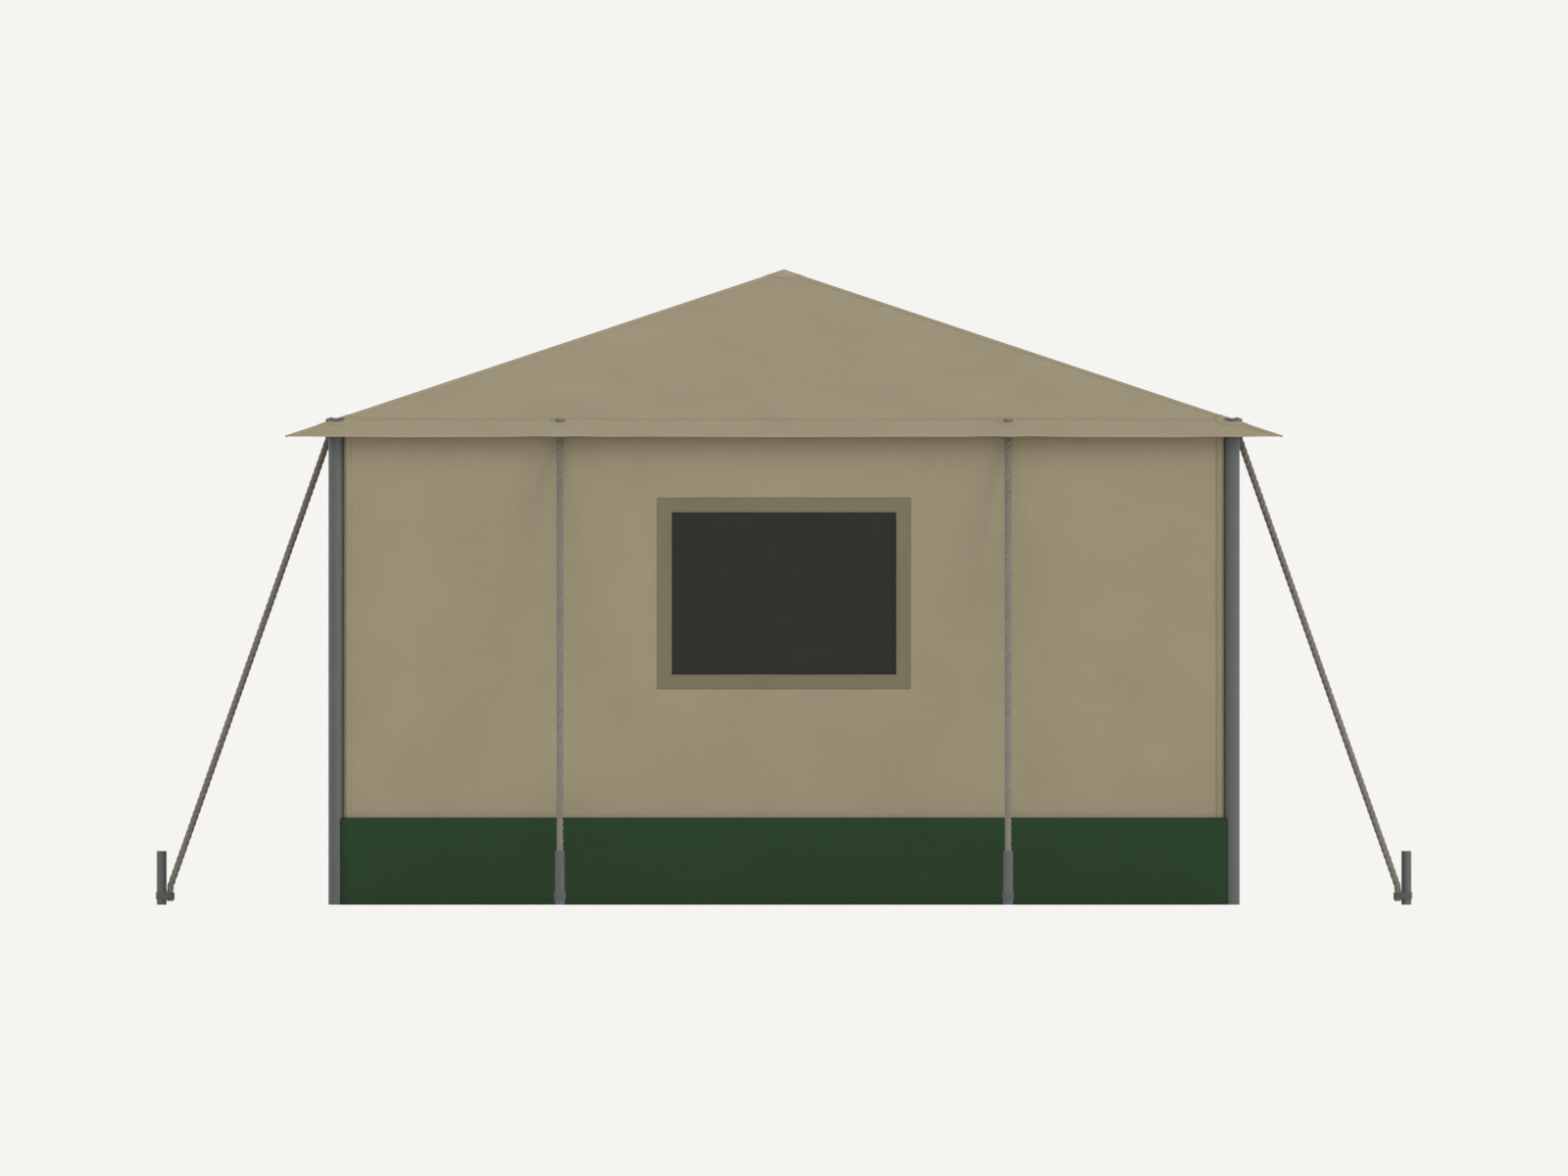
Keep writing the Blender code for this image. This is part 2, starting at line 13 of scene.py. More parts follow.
import bmesh
import bpy
import numpy as np
from mathutils import Matrix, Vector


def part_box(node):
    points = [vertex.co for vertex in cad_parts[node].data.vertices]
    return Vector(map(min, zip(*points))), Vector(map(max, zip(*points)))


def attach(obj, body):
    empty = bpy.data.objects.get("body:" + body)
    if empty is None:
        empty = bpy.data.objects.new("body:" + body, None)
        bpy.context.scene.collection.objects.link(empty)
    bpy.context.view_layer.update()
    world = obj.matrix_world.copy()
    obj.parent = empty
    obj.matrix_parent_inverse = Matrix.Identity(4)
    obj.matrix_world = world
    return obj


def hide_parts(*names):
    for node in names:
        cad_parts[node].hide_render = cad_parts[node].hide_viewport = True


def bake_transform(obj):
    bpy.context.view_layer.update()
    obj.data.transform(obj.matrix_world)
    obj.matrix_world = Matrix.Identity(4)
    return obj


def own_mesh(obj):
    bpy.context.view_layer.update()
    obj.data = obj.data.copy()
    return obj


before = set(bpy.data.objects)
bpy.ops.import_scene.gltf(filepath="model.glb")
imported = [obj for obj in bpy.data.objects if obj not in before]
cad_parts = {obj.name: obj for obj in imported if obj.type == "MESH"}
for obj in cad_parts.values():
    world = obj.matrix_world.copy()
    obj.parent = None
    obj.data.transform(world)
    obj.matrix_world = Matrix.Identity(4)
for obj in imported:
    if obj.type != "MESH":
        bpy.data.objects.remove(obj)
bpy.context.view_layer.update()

LOG = logging.getLogger("family_tent")
Array = np.ndarray
Surface = Callable[[Array, Array], Array]
Piece = bpy.types.Object
Tree = bpy.types.NodeTree
Node = bpy.types.Node
Socket = bpy.types.NodeSocket
CLOTH_MAP = "cloth"  # the map that holds each point's place on its flat cloth, in metres
NUDGE = 0.001  # step for finding a surface's slope
TENT = "tent"


class Side(Enum):
    """The tent's sides, counted round from the front by quarter turns."""

    FRONT = 0
    RIGHT = 1
    BACK = 2
    LEFT = 3

    @property
    def label(self) -> str:
        """The side's name in a node's name."""
        return self.name.lower()

    @property
    def ends(self) -> tuple[str, str]:
        """Names of the side's two ends, the one at -X of the front side's place first."""
        return {
            Side.FRONT: ("left", "right"),
            Side.RIGHT: ("front", "back"),
            Side.BACK: ("right", "left"),
            Side.LEFT: ("back", "front"),
        }[self]

    def turn(self, points: Array) -> Array:
        """Turns points of the front side to this side.

        Args:
            points: places in the frame, in an array whose last axis is X, Y, Z.

        Returns:
            The turned places, in an array of the same shape.
        """
        angle = self.value * math.pi / 2
        across, over = round(math.cos(angle)), round(math.sin(angle))
        x, y, z = points[..., 0], points[..., 1], points[..., 2]
        return np.stack([across * x - over * y, over * x + across * y, z], -1)


WINDOW_SIDES = (Side.FRONT, Side.RIGHT, Side.LEFT)
CORNERS = ("front_left", "front_right", "back_right", "back_left")


POST, ROOF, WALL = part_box("post_front_right"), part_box("roof_canopy"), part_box("wall_front")
BORDER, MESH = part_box("window_border_front"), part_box("window_mesh_front")
CURTAIN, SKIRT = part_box("window_curtain_front"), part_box("skirt_front")
FLAP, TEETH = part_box("door_flap"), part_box("door_zip")


@dataclass(frozen=True)
class Plan:
    """Driving sizes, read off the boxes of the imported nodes."""

    post_line: float = round((POST[0].x + POST[1].x) / 2, 4)
    post_radius: float = (POST[1].x - POST[0].x) / 2
    eave_half: float = ROOF[1].x
    peak_z: float = ROOF[1].z
    wall_half: float = WALL[1].x
    wall_head_z: float = WALL[1].z
    border_half: float = BORDER[1].x
    border_low_z: float = BORDER[0].z
    border_high_z: float = BORDER[1].z
    mesh_half: float = MESH[1].x
    mesh_low_z: float = MESH[0].z
    mesh_high_z: float = MESH[1].z
    mesh_line: float = -MESH[0].y
    curtain_half: float = CURTAIN[1].x
    curtain_low_z: float = CURTAIN[0].z
    curtain_high_z: float = CURTAIN[1].z
    curtain_line: float = -(CURTAIN[0].y + CURTAIN[1].y) / 2
    skirt_half: float = SKIRT[1].x
    skirt_top_z: float = SKIRT[1].z
    skirt_line: float = -SKIRT[0].y
    door_skirt_x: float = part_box("skirt_back_right")[0].x
    flap_low_z: float = FLAP[0].z
    flap_high_z: float = FLAP[1].z
    flap_line: float = FLAP[1].y
    flap_hinge_x: float = FLAP[0].x
    flap_free_x: float = FLAP[1].x
    zip_low_z: float = TEETH[0].z
    zip_high_z: float = TEETH[1].z
    floor_half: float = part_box("groundsheet")[1].x
    slope: float = 1 / 3


PLAN = Plan()
BORDER_W = 0.0492
GUY_X = 0.750  # a guy's distance from the middle of its side
EYELET_LINE = 1.520  # an eyelet's distance from the peak's axis
STAKE_LINE = 2.083
PITCH = math.atan(PLAN.slope)


# Finishes


def linear(code: str) -> tuple[float, float, float, float]:
    """Turns an sRGB hex code to a linear colour.

    Args:
        code: a colour as "#rrggbb".

    Returns:
        Linear red, green and blue, with an alpha of 1.
    """
    parts = [int(code[i : i + 2], 16) / 255 for i in (1, 3, 5)]
    bright = [c / 12.92 if c <= 0.04045 else ((c + 0.055) / 1.055) ** 2.4 for c in parts]
    return (*bright, 1.0)


def add_node(tree: Tree, kind: str, inputs: dict | None = None, **settings) -> Node:
    """Adds a node with its settings, values and links.

    Args:
        tree: the node tree to add to.
        kind: the node's Blender type.
        inputs: for each socket's name or number, a value, or an output to link.
        **settings: the node's own options.

    Returns:
        The new node.
    """
    made = tree.nodes.new(kind)
    for name, value in settings.items():
        setattr(made, name, value)
    for key, value in (inputs or {}).items():
        if isinstance(value, Socket):
            tree.links.new(value, made.inputs[key])
        else:
            made.inputs[key].default_value = value
    return made


@dataclass(frozen=True)
class Finish:
    """A material, made on its first use."""

    name: str
    light: str
    dark: str
    roughness: float
    gloss: float = 0.5

    def material(self) -> bpy.types.Material:
        """Finds or makes the Blender material of this finish.

        Returns:
            The material.
        """
        found = bpy.data.materials.get(self.name)
        if found:
            return found
        made = bpy.data.materials.new(self.name)
        made.use_nodes = True
        tree = made.node_tree
        shader = tree.nodes["Principled BSDF"]
        shader.inputs["Roughness"].default_value = self.roughness
        shader.inputs["Specular IOR Level"].default_value = self.gloss
        self.dress(tree, shader)
        return made

    def dress(self, tree: Tree, shader: Node) -> None:
        """Adds the finish's own colour and relief.

        Args:
            tree: its node tree.
            shader: its Principled shader.
        """
        raise NotImplementedError

    def colour(self, tree: Tree, shader: Node, share: Socket) -> None:
        """Links the base colour, from dark to light by a share.

        Args:
            tree: its node tree.
            shader: its Principled shader.
            share: an output from 0, dark, to 1, light.
        """
        inputs = {0: share, 6: linear(self.dark), 7: linear(self.light)}
        mix = add_node(tree, "ShaderNodeMix", inputs, data_type="RGBA")
        tree.links.new(mix.outputs[2], shader.inputs["Base Color"])

    @staticmethod
    def relief(tree: Tree, shader: Node, height: Socket, depth: float, strength: float) -> None:
        """Links a bump of a real depth.

        Args:
            tree: its node tree.
            shader: its Principled shader.
            height: an output from 0 to 1.
            depth: what a height of 1 stands for, in metres.
            strength: the bump's strength, from 0 to 1.
        """
        bump = add_node(tree, "ShaderNodeBump", {"Height": height, "Distance": depth, "Strength": strength})
        tree.links.new(bump.outputs["Normal"], shader.inputs["Normal"])

    @staticmethod
    def noise(tree: Tree, place: Socket, size: tuple, detail: float = 2.0) -> Socket:
        """A cloudy pattern whose spots have a real size.

        Args:
            tree: its node tree.
            place: the coordinates, in metres.
            size: the spots' size along each axis, in metres.
            detail: how many finer layers it has.

        Returns:
            An output from 0 to 1.
        """
        per_metre = {0: place, 1: tuple(1 / s for s in size)}
        scaled = add_node(tree, "ShaderNodeVectorMath", per_metre, operation="MULTIPLY")
        inputs = {"Vector": scaled.outputs[0], "Scale": 1.0, "Detail": detail}
        return add_node(tree, "ShaderNodeTexNoise", inputs).outputs["Fac"]


def blend_of(tree: Tree, kind: str, *values: Socket | float) -> Socket:
    """Joins numbers by one operation, two at a time.

    Args:
        tree: the node tree.
        kind: the operation's Blender name.
        *values: outputs or numbers, at least two.

    Returns:
        The result's output.
    """
    total = values[0]
    for value in values[1:]:
        total = add_node(tree, "ShaderNodeMath", {0: total, 1: value}, operation=kind).outputs[0]
    return total


def weighted(tree: Tree, *parts: tuple[Socket, float]) -> Socket:
    """Adds patterns up, each by its own share.

    Args:
        tree: the node tree.
        *parts: each pattern's output, and its share.

    Returns:
        The sum's output.
    """
    return blend_of(tree, "ADD", *(blend_of(tree, "MULTIPLY", *part) for part in parts))


@dataclass(frozen=True)
class WovenCloth(Finish):
    """Plain-woven cloth: warp and weft, thicker threads here and there, and a soft mottle."""

    thread_mm: float = 1.2
    relief_mm: float = 0.25
    rib_mm: float = 0.0
    weave_share: float = 0.3
    alpha: float = 1.0
    slub: tuple[float, float] = (0.006, 0.20)  # a slub's width and length, in metres
    mottle: float = 0.30
    rib_sharpness: float = 14.0
    rib_paleness: float = 0.25

    def dress(self, tree: Tree, shader: Node) -> None:
        """Adds the weave; the cloth's threads run along its map's two axes.

        Args:
            tree: its node tree.
            shader: its Principled shader.
        """
        place = add_node(tree, "ShaderNodeUVMap", uv_map=CLOTH_MAP).outputs["UV"]
        warp = self.threads(tree, place, "X", self.thread_mm)
        weft = self.threads(tree, place, "Y", self.thread_mm)
        weave = blend_of(tree, "MULTIPLY", blend_of(tree, "ADD", warp, weft), 0.5)
        # Slubs are single threads that were spun thick: long thin streaks both ways.
        wide, long = self.slub
        slub_warp = self.noise(tree, place, (wide, long, 1.0))
        slub_weft = self.noise(tree, place, (long, wide, 1.0))
        slubs = blend_of(tree, "MULTIPLY", blend_of(tree, "ADD", slub_warp, slub_weft), 0.5)
        mottle = self.noise(tree, place, (self.mottle, self.mottle, 1.0), 5.0)
        rest = 1 - self.weave_share
        share = weighted(tree, (mottle, 0.6 * rest), (slubs, 0.4 * rest), (weave, self.weave_share))
        height = weighted(tree, (weave, 0.6), (slubs, 0.4))
        if self.rib_mm:
            both = [self.threads(tree, place, axis, self.rib_mm) for axis in "XY"]
            ribs = blend_of(tree, "POWER", blend_of(tree, "MAXIMUM", *both), self.rib_sharpness)
            height = blend_of(tree, "ADD", height, ribs)
            share = blend_of(tree, "ADD", share, blend_of(tree, "MULTIPLY", ribs, self.rib_paleness))
        self.colour(tree, shader, share)
        self.relief(tree, shader, height, self.relief_mm / 1000, 0.5)
        shader.inputs["Alpha"].default_value = self.alpha

    @staticmethod
    def threads(tree: Tree, place: Socket, axis: str, pitch_mm: float) -> Socket:
        """Rounded threads side by side.

        Args:
            tree: its node tree.
            place: the cloth's coordinates, in metres.
            axis: the direction that the threads are counted along, X or Y.
            pitch_mm: the distance from thread to thread.

        Returns:
            An output from 0 to 1.
        """
        # A wave at scale 1 repeats every pi / 10 metres.
        scale = math.pi / 10 / (pitch_mm / 1000)
        inputs = {"Vector": place, "Scale": scale, "Distortion": 0.6, "Detail": 1.0, "Detail Scale": 0.4}
        return add_node(tree, "ShaderNodeTexWave", inputs, bands_direction=axis).outputs["Fac"]


@dataclass(frozen=True)
class LaidRope(Finish):
    """Rope of laid strands: fine yarns that lie almost along the rope, and paler fibres."""

    yarn_mm: float = 2.2
    mottle: tuple[float, float] = (0.09, 0.03)  # the patches' size along the rope and round it
    depth: float = 0.0006  # of the relief, in metres

    def dress(self, tree: Tree, shader: Node) -> None:
        """Adds the yarns; the map runs along the rope and round it.

        Args:
            tree: its node tree.
            shader: its Principled shader.
        """
        place = add_node(tree, "ShaderNodeUVMap", uv_map=CLOTH_MAP).outputs["UV"]
        yarn = self.yarn_mm / 1000
        fibres = self.noise(tree, place, (12 * yarn, yarn / 2, 1.0), 3.0)
        yarns = self.noise(tree, place, (8 * yarn, yarn, 1.0), 1.0)
        mottle = self.noise(tree, place, (*self.mottle, 1.0))
        self.colour(tree, shader, weighted(tree, (fibres, 0.6), (mottle, 0.4)))
        self.relief(tree, shader, blend_of(tree, "ADD", fibres, yarns), self.depth, 0.6)


@dataclass(frozen=True)
class CoatedMetal(Finish):
    """Metal under a coat or a worn skin: a slight grain, and soft patches of wear."""

    grain_mm: float = 0.8
    metallic: float = 0.0
    patch: tuple[float, float, float] = (0.05, 0.05, 0.22)
    wear: float = 0.08  # how much rougher or smoother a patch is
    depth: float = 0.00006  # of the relief, in metres

    def dress(self, tree: Tree, shader: Node) -> None:
        """Adds the grain and the patches, by the piece's own place in the frame.

        Args:
            tree: its node tree.
            shader: its Principled shader.
        """
        place = add_node(tree, "ShaderNodeTexCoord").outputs["Object"]
        grain = self.noise(tree, place, (self.grain_mm / 1000,) * 3)
        patches = self.noise(tree, place, self.patch, 5.0)
        self.colour(tree, shader, patches)
        self.relief(tree, shader, grain, self.depth, 0.35)
        smooth, rough = self.roughness - self.wear, self.roughness + self.wear
        uneven = add_node(tree, "ShaderNodeMapRange", {"Value": patches, "To Min": smooth, "To Max": rough})
        tree.links.new(uneven.outputs[0], shader.inputs["Roughness"])
        shader.inputs["Metallic"].default_value = self.metallic


@dataclass(frozen=True)
class MouldedPlastic(Finish):
    """Injection-moulded plastic: spark-eroded grain, even colour."""

    grain_mm: float = 0.5
    cloud: float = 0.03
    depth: float = 0.00005  # of the relief, in metres

    def dress(self, tree: Tree, shader: Node) -> None:
        """Adds the mould's grain, by the piece's own place in the frame.

        Args:
            tree: its node tree.
            shader: its Principled shader.
        """
        place = add_node(tree, "ShaderNodeTexCoord").outputs["Object"]
        grain = self.noise(tree, place, (self.grain_mm / 1000,) * 3)
        self.colour(tree, shader, self.noise(tree, place, (self.cloud,) * 3))
        self.relief(tree, shader, grain, self.depth, 0.4)


# Cotton-polyester tent canvas, plain woven and proofed: dull, with slubs that catch the light.
# Its real threads are 0.5 mm apart, too fine to show, so they are drawn 1.5 mm apart.
# The roof's copy of this same canvas is painted a little lighter than the wall's. That is painted light,
# standing for the roof that faces up to the light.
ROOF_CANVAS_PAINTED_LIGHTER = WovenCloth("canvas_woven_roof", "#aba188", "#8a8067", 0.92, 0.15, thread_mm=1.5)
WALL_CANVAS = WovenCloth("canvas_woven_wall", "#a89e86", "#877d65", 0.92, 0.15, thread_mm=1.5)
BORDER_CANVAS = WovenCloth("canvas_woven_border", "#887f68", "#69614c", 0.90, 0.15, thread_mm=1.5)
# Polyester insect net, knitted and dyed black: see-through from near, flat and dark from afar.
# Its real holes are 1.2 mm apart; they are drawn 2.4 mm apart.
NET_WEAVE = {"thread_mm": 2.4, "relief_mm": 0.5, "weave_share": 0.9}
INSECT_NET = WovenCloth("polyester_knitted_net", "#464642", "#191917", 0.85, 0.10, alpha=0.80, **NET_WEAVE)
# Polyester ripstop, coated with PVC: smoother than canvas, with a grid of thicker threads.
SKIRT_CLOTH = WovenCloth("ripstop_coated_green", "#2a4228", "#1e361f", 0.70, 0.12, thread_mm=1.5, rib_mm=9.0)
# Woven polyethylene tape, laminated: a flat shine over wide tapes.
GROUND_CLOTH = WovenCloth("polyethylene_woven_ground", "#565b55", "#474b46", 0.55, 0.30, thread_mm=3.0)
# Polyester sewing thread, bonded: a little paler and shinier than the cloth that it holds.
THREAD = WovenCloth("thread_bonded_canvas", "#a99f87", "#9c927a", 0.75, 0.20, thread_mm=0.6)
GREEN_THREAD = WovenCloth("thread_bonded_green", "#3b5038", "#314430", 0.75, 0.20, thread_mm=0.6)
BORDER_THREAD = WovenCloth("thread_bonded_border", "#8d846c", "#80775f", 0.75, 0.20, thread_mm=0.6)
# Polypropylene and hemp blend, three strands laid up: dull, hairy, weathered to a warm grey.
ROPE = LaidRope("hemp_blend_laid", "#9d988f", "#5a5650", 0.95, 0.15)
# Polyester twine, laid and waxed: as dark as the stake that it is tied to.
TWINE = LaidRope("polyester_twine_waxed", "#74777a", "#505356", 0.80, 0.25, yarn_mm=1.2)
# Mild steel tube, powder coated dark grey: an even satin with a slight orange peel.
POWDER_STEEL = CoatedMetal("steel_powder_coated", "#545758", "#474a4b", 0.48, 0.45)
# Forged steel rod, painted and scuffed where it goes into the ground.
STAKE_STEEL = CoatedMetal("steel_forged_stake", "#595c5d", "#484b4c", 0.55, 0.45, grain_mm=1.6)
# Polypropylene, moulded in grey: waxy and even.
FOOT_PLASTIC = MouldedPlastic("polypropylene_moulded", "#525556", "#4a4d4e", 0.50, 0.40)
# Acetal zip teeth, moulded on to a woven tape.
ZIP_TEETH = MouldedPlastic("acetal_moulded_teeth", "#6b6351", "#5d5646", 0.40, 0.45)
ZIP_TAPE = WovenCloth("polyester_woven_tape", "#7b725d", "#6b634f", 0.85, 0.15, thread_mm=1.0)
# Die-cast zinc under brass plate, rubbed by hands.
BRASS = CoatedMetal("brass_plated_cast", "#c3a468", "#a78749", 0.32, 0.50, metallic=1.0)


# Building meshes


@dataclass
class Shape:
    """A mesh being put together from grids, with each point's place on its flat cloth."""

    points: list[Array] = field(default_factory=list)
    cloth: list[Array] = field(default_factory=list)
    faces: list[Array] = field(default_factory=list)
    count: int = 0

    def add(self, points: Array, cloth: Array, faces: Array) -> None:
        """Adds points and the faces between them.

        Args:
            points: places, N by 3.
            cloth: their places on the flat cloth, N by 2.
            faces: rows of point numbers, counted from the first point given here.
        """
        self.points.append(points)
        self.cloth.append(cloth)
        self.faces.append(faces + self.count)
        self.count += len(points)

    def grid(self, points: Array, cloth: Array, hole: Array | None = None, ring: bool = False) -> None:
        """Adds a grid of points as four-sided faces.

        Args:
            points: places, rows by columns by 3; the face looks to where columns cross rows.
            cloth: places on the flat cloth, rows by columns by 2.
            hole: True for each face that is left out.
            ring: whether the last column meets the first.
        """
        rows, columns = points.shape[:2]
        number = np.arange(rows * columns).reshape(rows, columns)
        if ring:
            number = np.concatenate([number, number[:, :1]], 1)
        corners = (number[:-1, :-1], number[:-1, 1:], number[1:, 1:], number[1:, :-1])
        faces = np.stack(corners, -1)
        faces = faces[~hole] if hole is not None else faces.reshape(-1, 4)
        self.add(points.reshape(-1, 3), cloth.reshape(-1, 2), faces)

    def build(self, name: str, finish: Finish, weld: float = 0.0, sharp: float = 60.0) -> Piece:
        """Makes the object.

        Args:
            name: its name.
            finish: what it is made of.
            weld: points this near each other become one.
            sharp: the least angle between faces that stays a crease, in degrees.

        Returns:
            The new object.
        """
        points, cloth = np.concatenate(self.points), np.concatenate(self.cloth)
        mesh = bpy.data.meshes.new(name)
        mesh.from_pydata(points.tolist(), [], [face for group in self.faces for face in group.tolist()])
        corner = np.zeros(len(mesh.loops), np.int32)
        mesh.loops.foreach_get("vertex_index", corner)
        mesh.uv_layers.new(name=CLOTH_MAP).data.foreach_set("uv", cloth[corner].astype(np.float32).ravel())
        edit = bmesh.new()
        edit.from_mesh(mesh)
        if weld:
            bmesh.ops.remove_doubles(edit, verts=edit.verts, dist=weld)
        loose = [point for point in edit.verts if not point.link_faces]
        bmesh.ops.delete(edit, geom=loose, context="VERTS")
        edit.to_mesh(mesh)
        edit.free()
        mesh.shade_smooth()
        mesh.set_sharp_from_angle(angle=math.radians(sharp))
        mesh.materials.append(finish.material())
        made = bpy.data.objects.new(name, mesh)
        bpy.context.scene.collection.objects.link(made)
        return made


def put(piece: Piece, body: str, slot: str, *nodes: str) -> Piece:
    """Makes a piece ride on a body, and hides the imported nodes that it replaces.

    Args:
        piece: the finished piece.
        body: the body that it moves with.
        slot: not used.
        *nodes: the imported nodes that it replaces.

    Returns:
        The piece.
    """
    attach(piece, body)
    if nodes:
        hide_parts(*nodes)
    LOG.info("%s rides on %s, %d points", piece.name, body, len(piece.data.vertices))
    return piece


def thicken(piece: Piece, thickness: float) -> None:
    """Gives an open sheet its thickness, away from the side that it faces.

    Args:
        piece: the sheet.
        thickness: how thick it becomes.
    """
    solid = piece.modifiers.new("cloth", "SOLIDIFY")
    solid.thickness = thickness
    solid.offset = -1


def lines(breaks: list[float], step: float) -> Array:
    """Spaces a grid's lines out.

    Args:
        breaks: places that a line must pass through, in order.
        step: about how far apart the lines are.

    Returns:
        Places from the first break to the last.
    """
    parts = []
    for start, end in zip(breaks, breaks[1:], strict=False):
        count = max(1, round((end - start) / step))
        parts.append(np.linspace(start, end, count + 1)[:-1])
    return np.append(np.concatenate(parts), breaks[-1])


def eased(share: Array) -> Array:
    """A smooth step from 0 to 1 as the share goes from 0 to 1."""
    held = np.clip(share, 0, 1)
    return held * held * (3 - 2 * held)


def unit(vectors: Array) -> Array:
    """The vectors at a length of 1."""
    return vectors / np.maximum(np.linalg.norm(vectors, axis=-1, keepdims=True), 1e-12)


def circle(count: int) -> Array:
    """Angles all round a circle, in radians, evenly spaced from 0."""
    return np.arange(count) * 2 * math.pi / count


def facing(surface: Surface, u: Array, v: Array) -> Array:
    """Finds the way that a surface faces, which is where its u axis crosses its v axis.

    Args:
        surface: the surface, over its own two axes.
        u: places along the first axis.
        v: places along the second.

    Returns:
        A direction for each place, of length 1.
    """
    along = surface(u + NUDGE, v) - surface(u - NUDGE, v)
    up = surface(u, v + NUDGE) - surface(u, v - NUDGE)
    return unit(np.cross(along, up))


def lay(
    shape: Shape, surface: Surface, side: Side, us: Array, vs: Array, lift: float = 0.0,
    hole: Array | None = None,
) -> None:
    """Lays a grid of cloth over a surface.

    Args:
        shape: what the grid is added to.
        surface: the surface, over its own two axes.
        side: the tent's side.
        us: the columns' places.
        vs: the rows' places.
        lift: the distance off the surface.
        hole: True for each face that is left out.
    """
    u, v = np.meshgrid(us, vs)
    points = surface(u, v) + lift * facing(surface, u, v)
    shape.grid(side.turn(points), np.stack([u, v], -1), hole)


def band(
    name: str, finish: Finish, surface: Surface, side: Side, us: Array, vs: Array, lift: float
) -> Piece:
    """Makes a strip of cloth that is sewn flat on a surface, as thick as it stands proud.

    Args:
        name: its name.
        finish: what it is made of.
        surface: what it is sewn to, over its own two axes.
        side: the tent's side.
        us: the columns' places.
        vs: the rows' places.
        lift: how far it stands proud.

    Returns:
        The new object.
    """
    shape = Shape()
    lay(shape, surface, side, us, vs, lift)
    made = shape.build(name, finish)
    thicken(made, lift)
    return made


def ripple(u: Array, v: Array, seed: float) -> Array:
    """A soft unevenness, with folds that run mostly up the cloth.

    Args:
        u: places across the cloth.
        v: places up it.
        seed: a number that gives each cloth folds of its own.

    Returns:
        Heights from about -1 to 1.
    """
    drift = 0.35 * np.sin(1.9 * v + 2.3 * seed) + 0.2 * np.sin(4.1 * v - seed)
    broad = np.sin(8.3 * (u + drift) + 1.7 * seed)
    fine = 0.45 * np.sin(17.9 * (u - 0.6 * drift) + 3.1 * seed) * np.sin(2.2 * v + seed)
    cross = 0.35 * np.sin(5.7 * v + 2.9 * u + seed)
    return (broad + fine + cross) / 1.8


@dataclass
class Stitching:
    """Rows of lockstitch. Real stitches are 4 mm apart; these are drawn 8 mm apart, to show."""

    pitch: float = 0.008
    length: float = 0.0060
    width: float = 0.0014
    height: float = 0.0007
    shape: Shape = field(default_factory=Shape)

    def row(self, surface: Surface, side: Side, start: tuple, end: tuple, lift: float = 0.0) -> None:
        """Sews a straight row on a surface.

        Args:
            surface: the surface, over its own two axes.
            side: the tent's side.
            start: the row's first place on the surface.
            end: its last place.
            lift: the distance off the surface.
        """
        start, end = np.array(start), np.array(end)
        count = max(1, int(np.linalg.norm(end - start) / self.pitch))
        share = (np.arange(count) + 0.5)[:, None] / count
        u, v = (start + (end - start) * share).T
        step = unit(end - start) * NUDGE
        out = facing(surface, u, v)
        along = surface(u + step[0], v + step[1]) - surface(u, v)
        self.sew(side.turn(surface(u, v) + lift * out), side.turn(along), side.turn(out))

    def sew(self, middles: Array, along: Array, out: Array) -> None:
        """Adds stitches.

        Args:
            middles: each stitch's middle.
            along: its row's direction there.
            out: the way that its cloth faces there.
        """
        along, out = unit(along), unit(out)
        across = np.cross(out, along)
        ends = (
            middles + along * self.length / 2,
            middles - along * self.length / 2,
            middles + across * self.width / 2,
            middles - across * self.width / 2,
            middles + out * self.height * 1.5,
            middles - out * self.height * 0.5,
        )
        points = np.stack(ends, 1)
        first = np.arange(len(middles))[:, None, None] * len(ends)
        sides = [(0, 2, 4), (2, 1, 4), (1, 3, 4), (3, 0, 4), (2, 0, 5), (1, 2, 5), (3, 1, 5), (0, 3, 5)]
        faces = (np.array(sides)[None] + first).reshape(-1, 3)
        spots = np.repeat(np.arange(len(middles)) * self.pitch, len(ends))
        self.shape.add(points.reshape(-1, 3), np.stack([spots, spots], -1), faces)

    def build(self, name: str, body: str, slot: str, finish: Finish = THREAD) -> Piece:
        """Makes the rows one piece that rides on a body."""
        return put(self.shape.build(name, finish), body, slot)


# Camera, light and floor


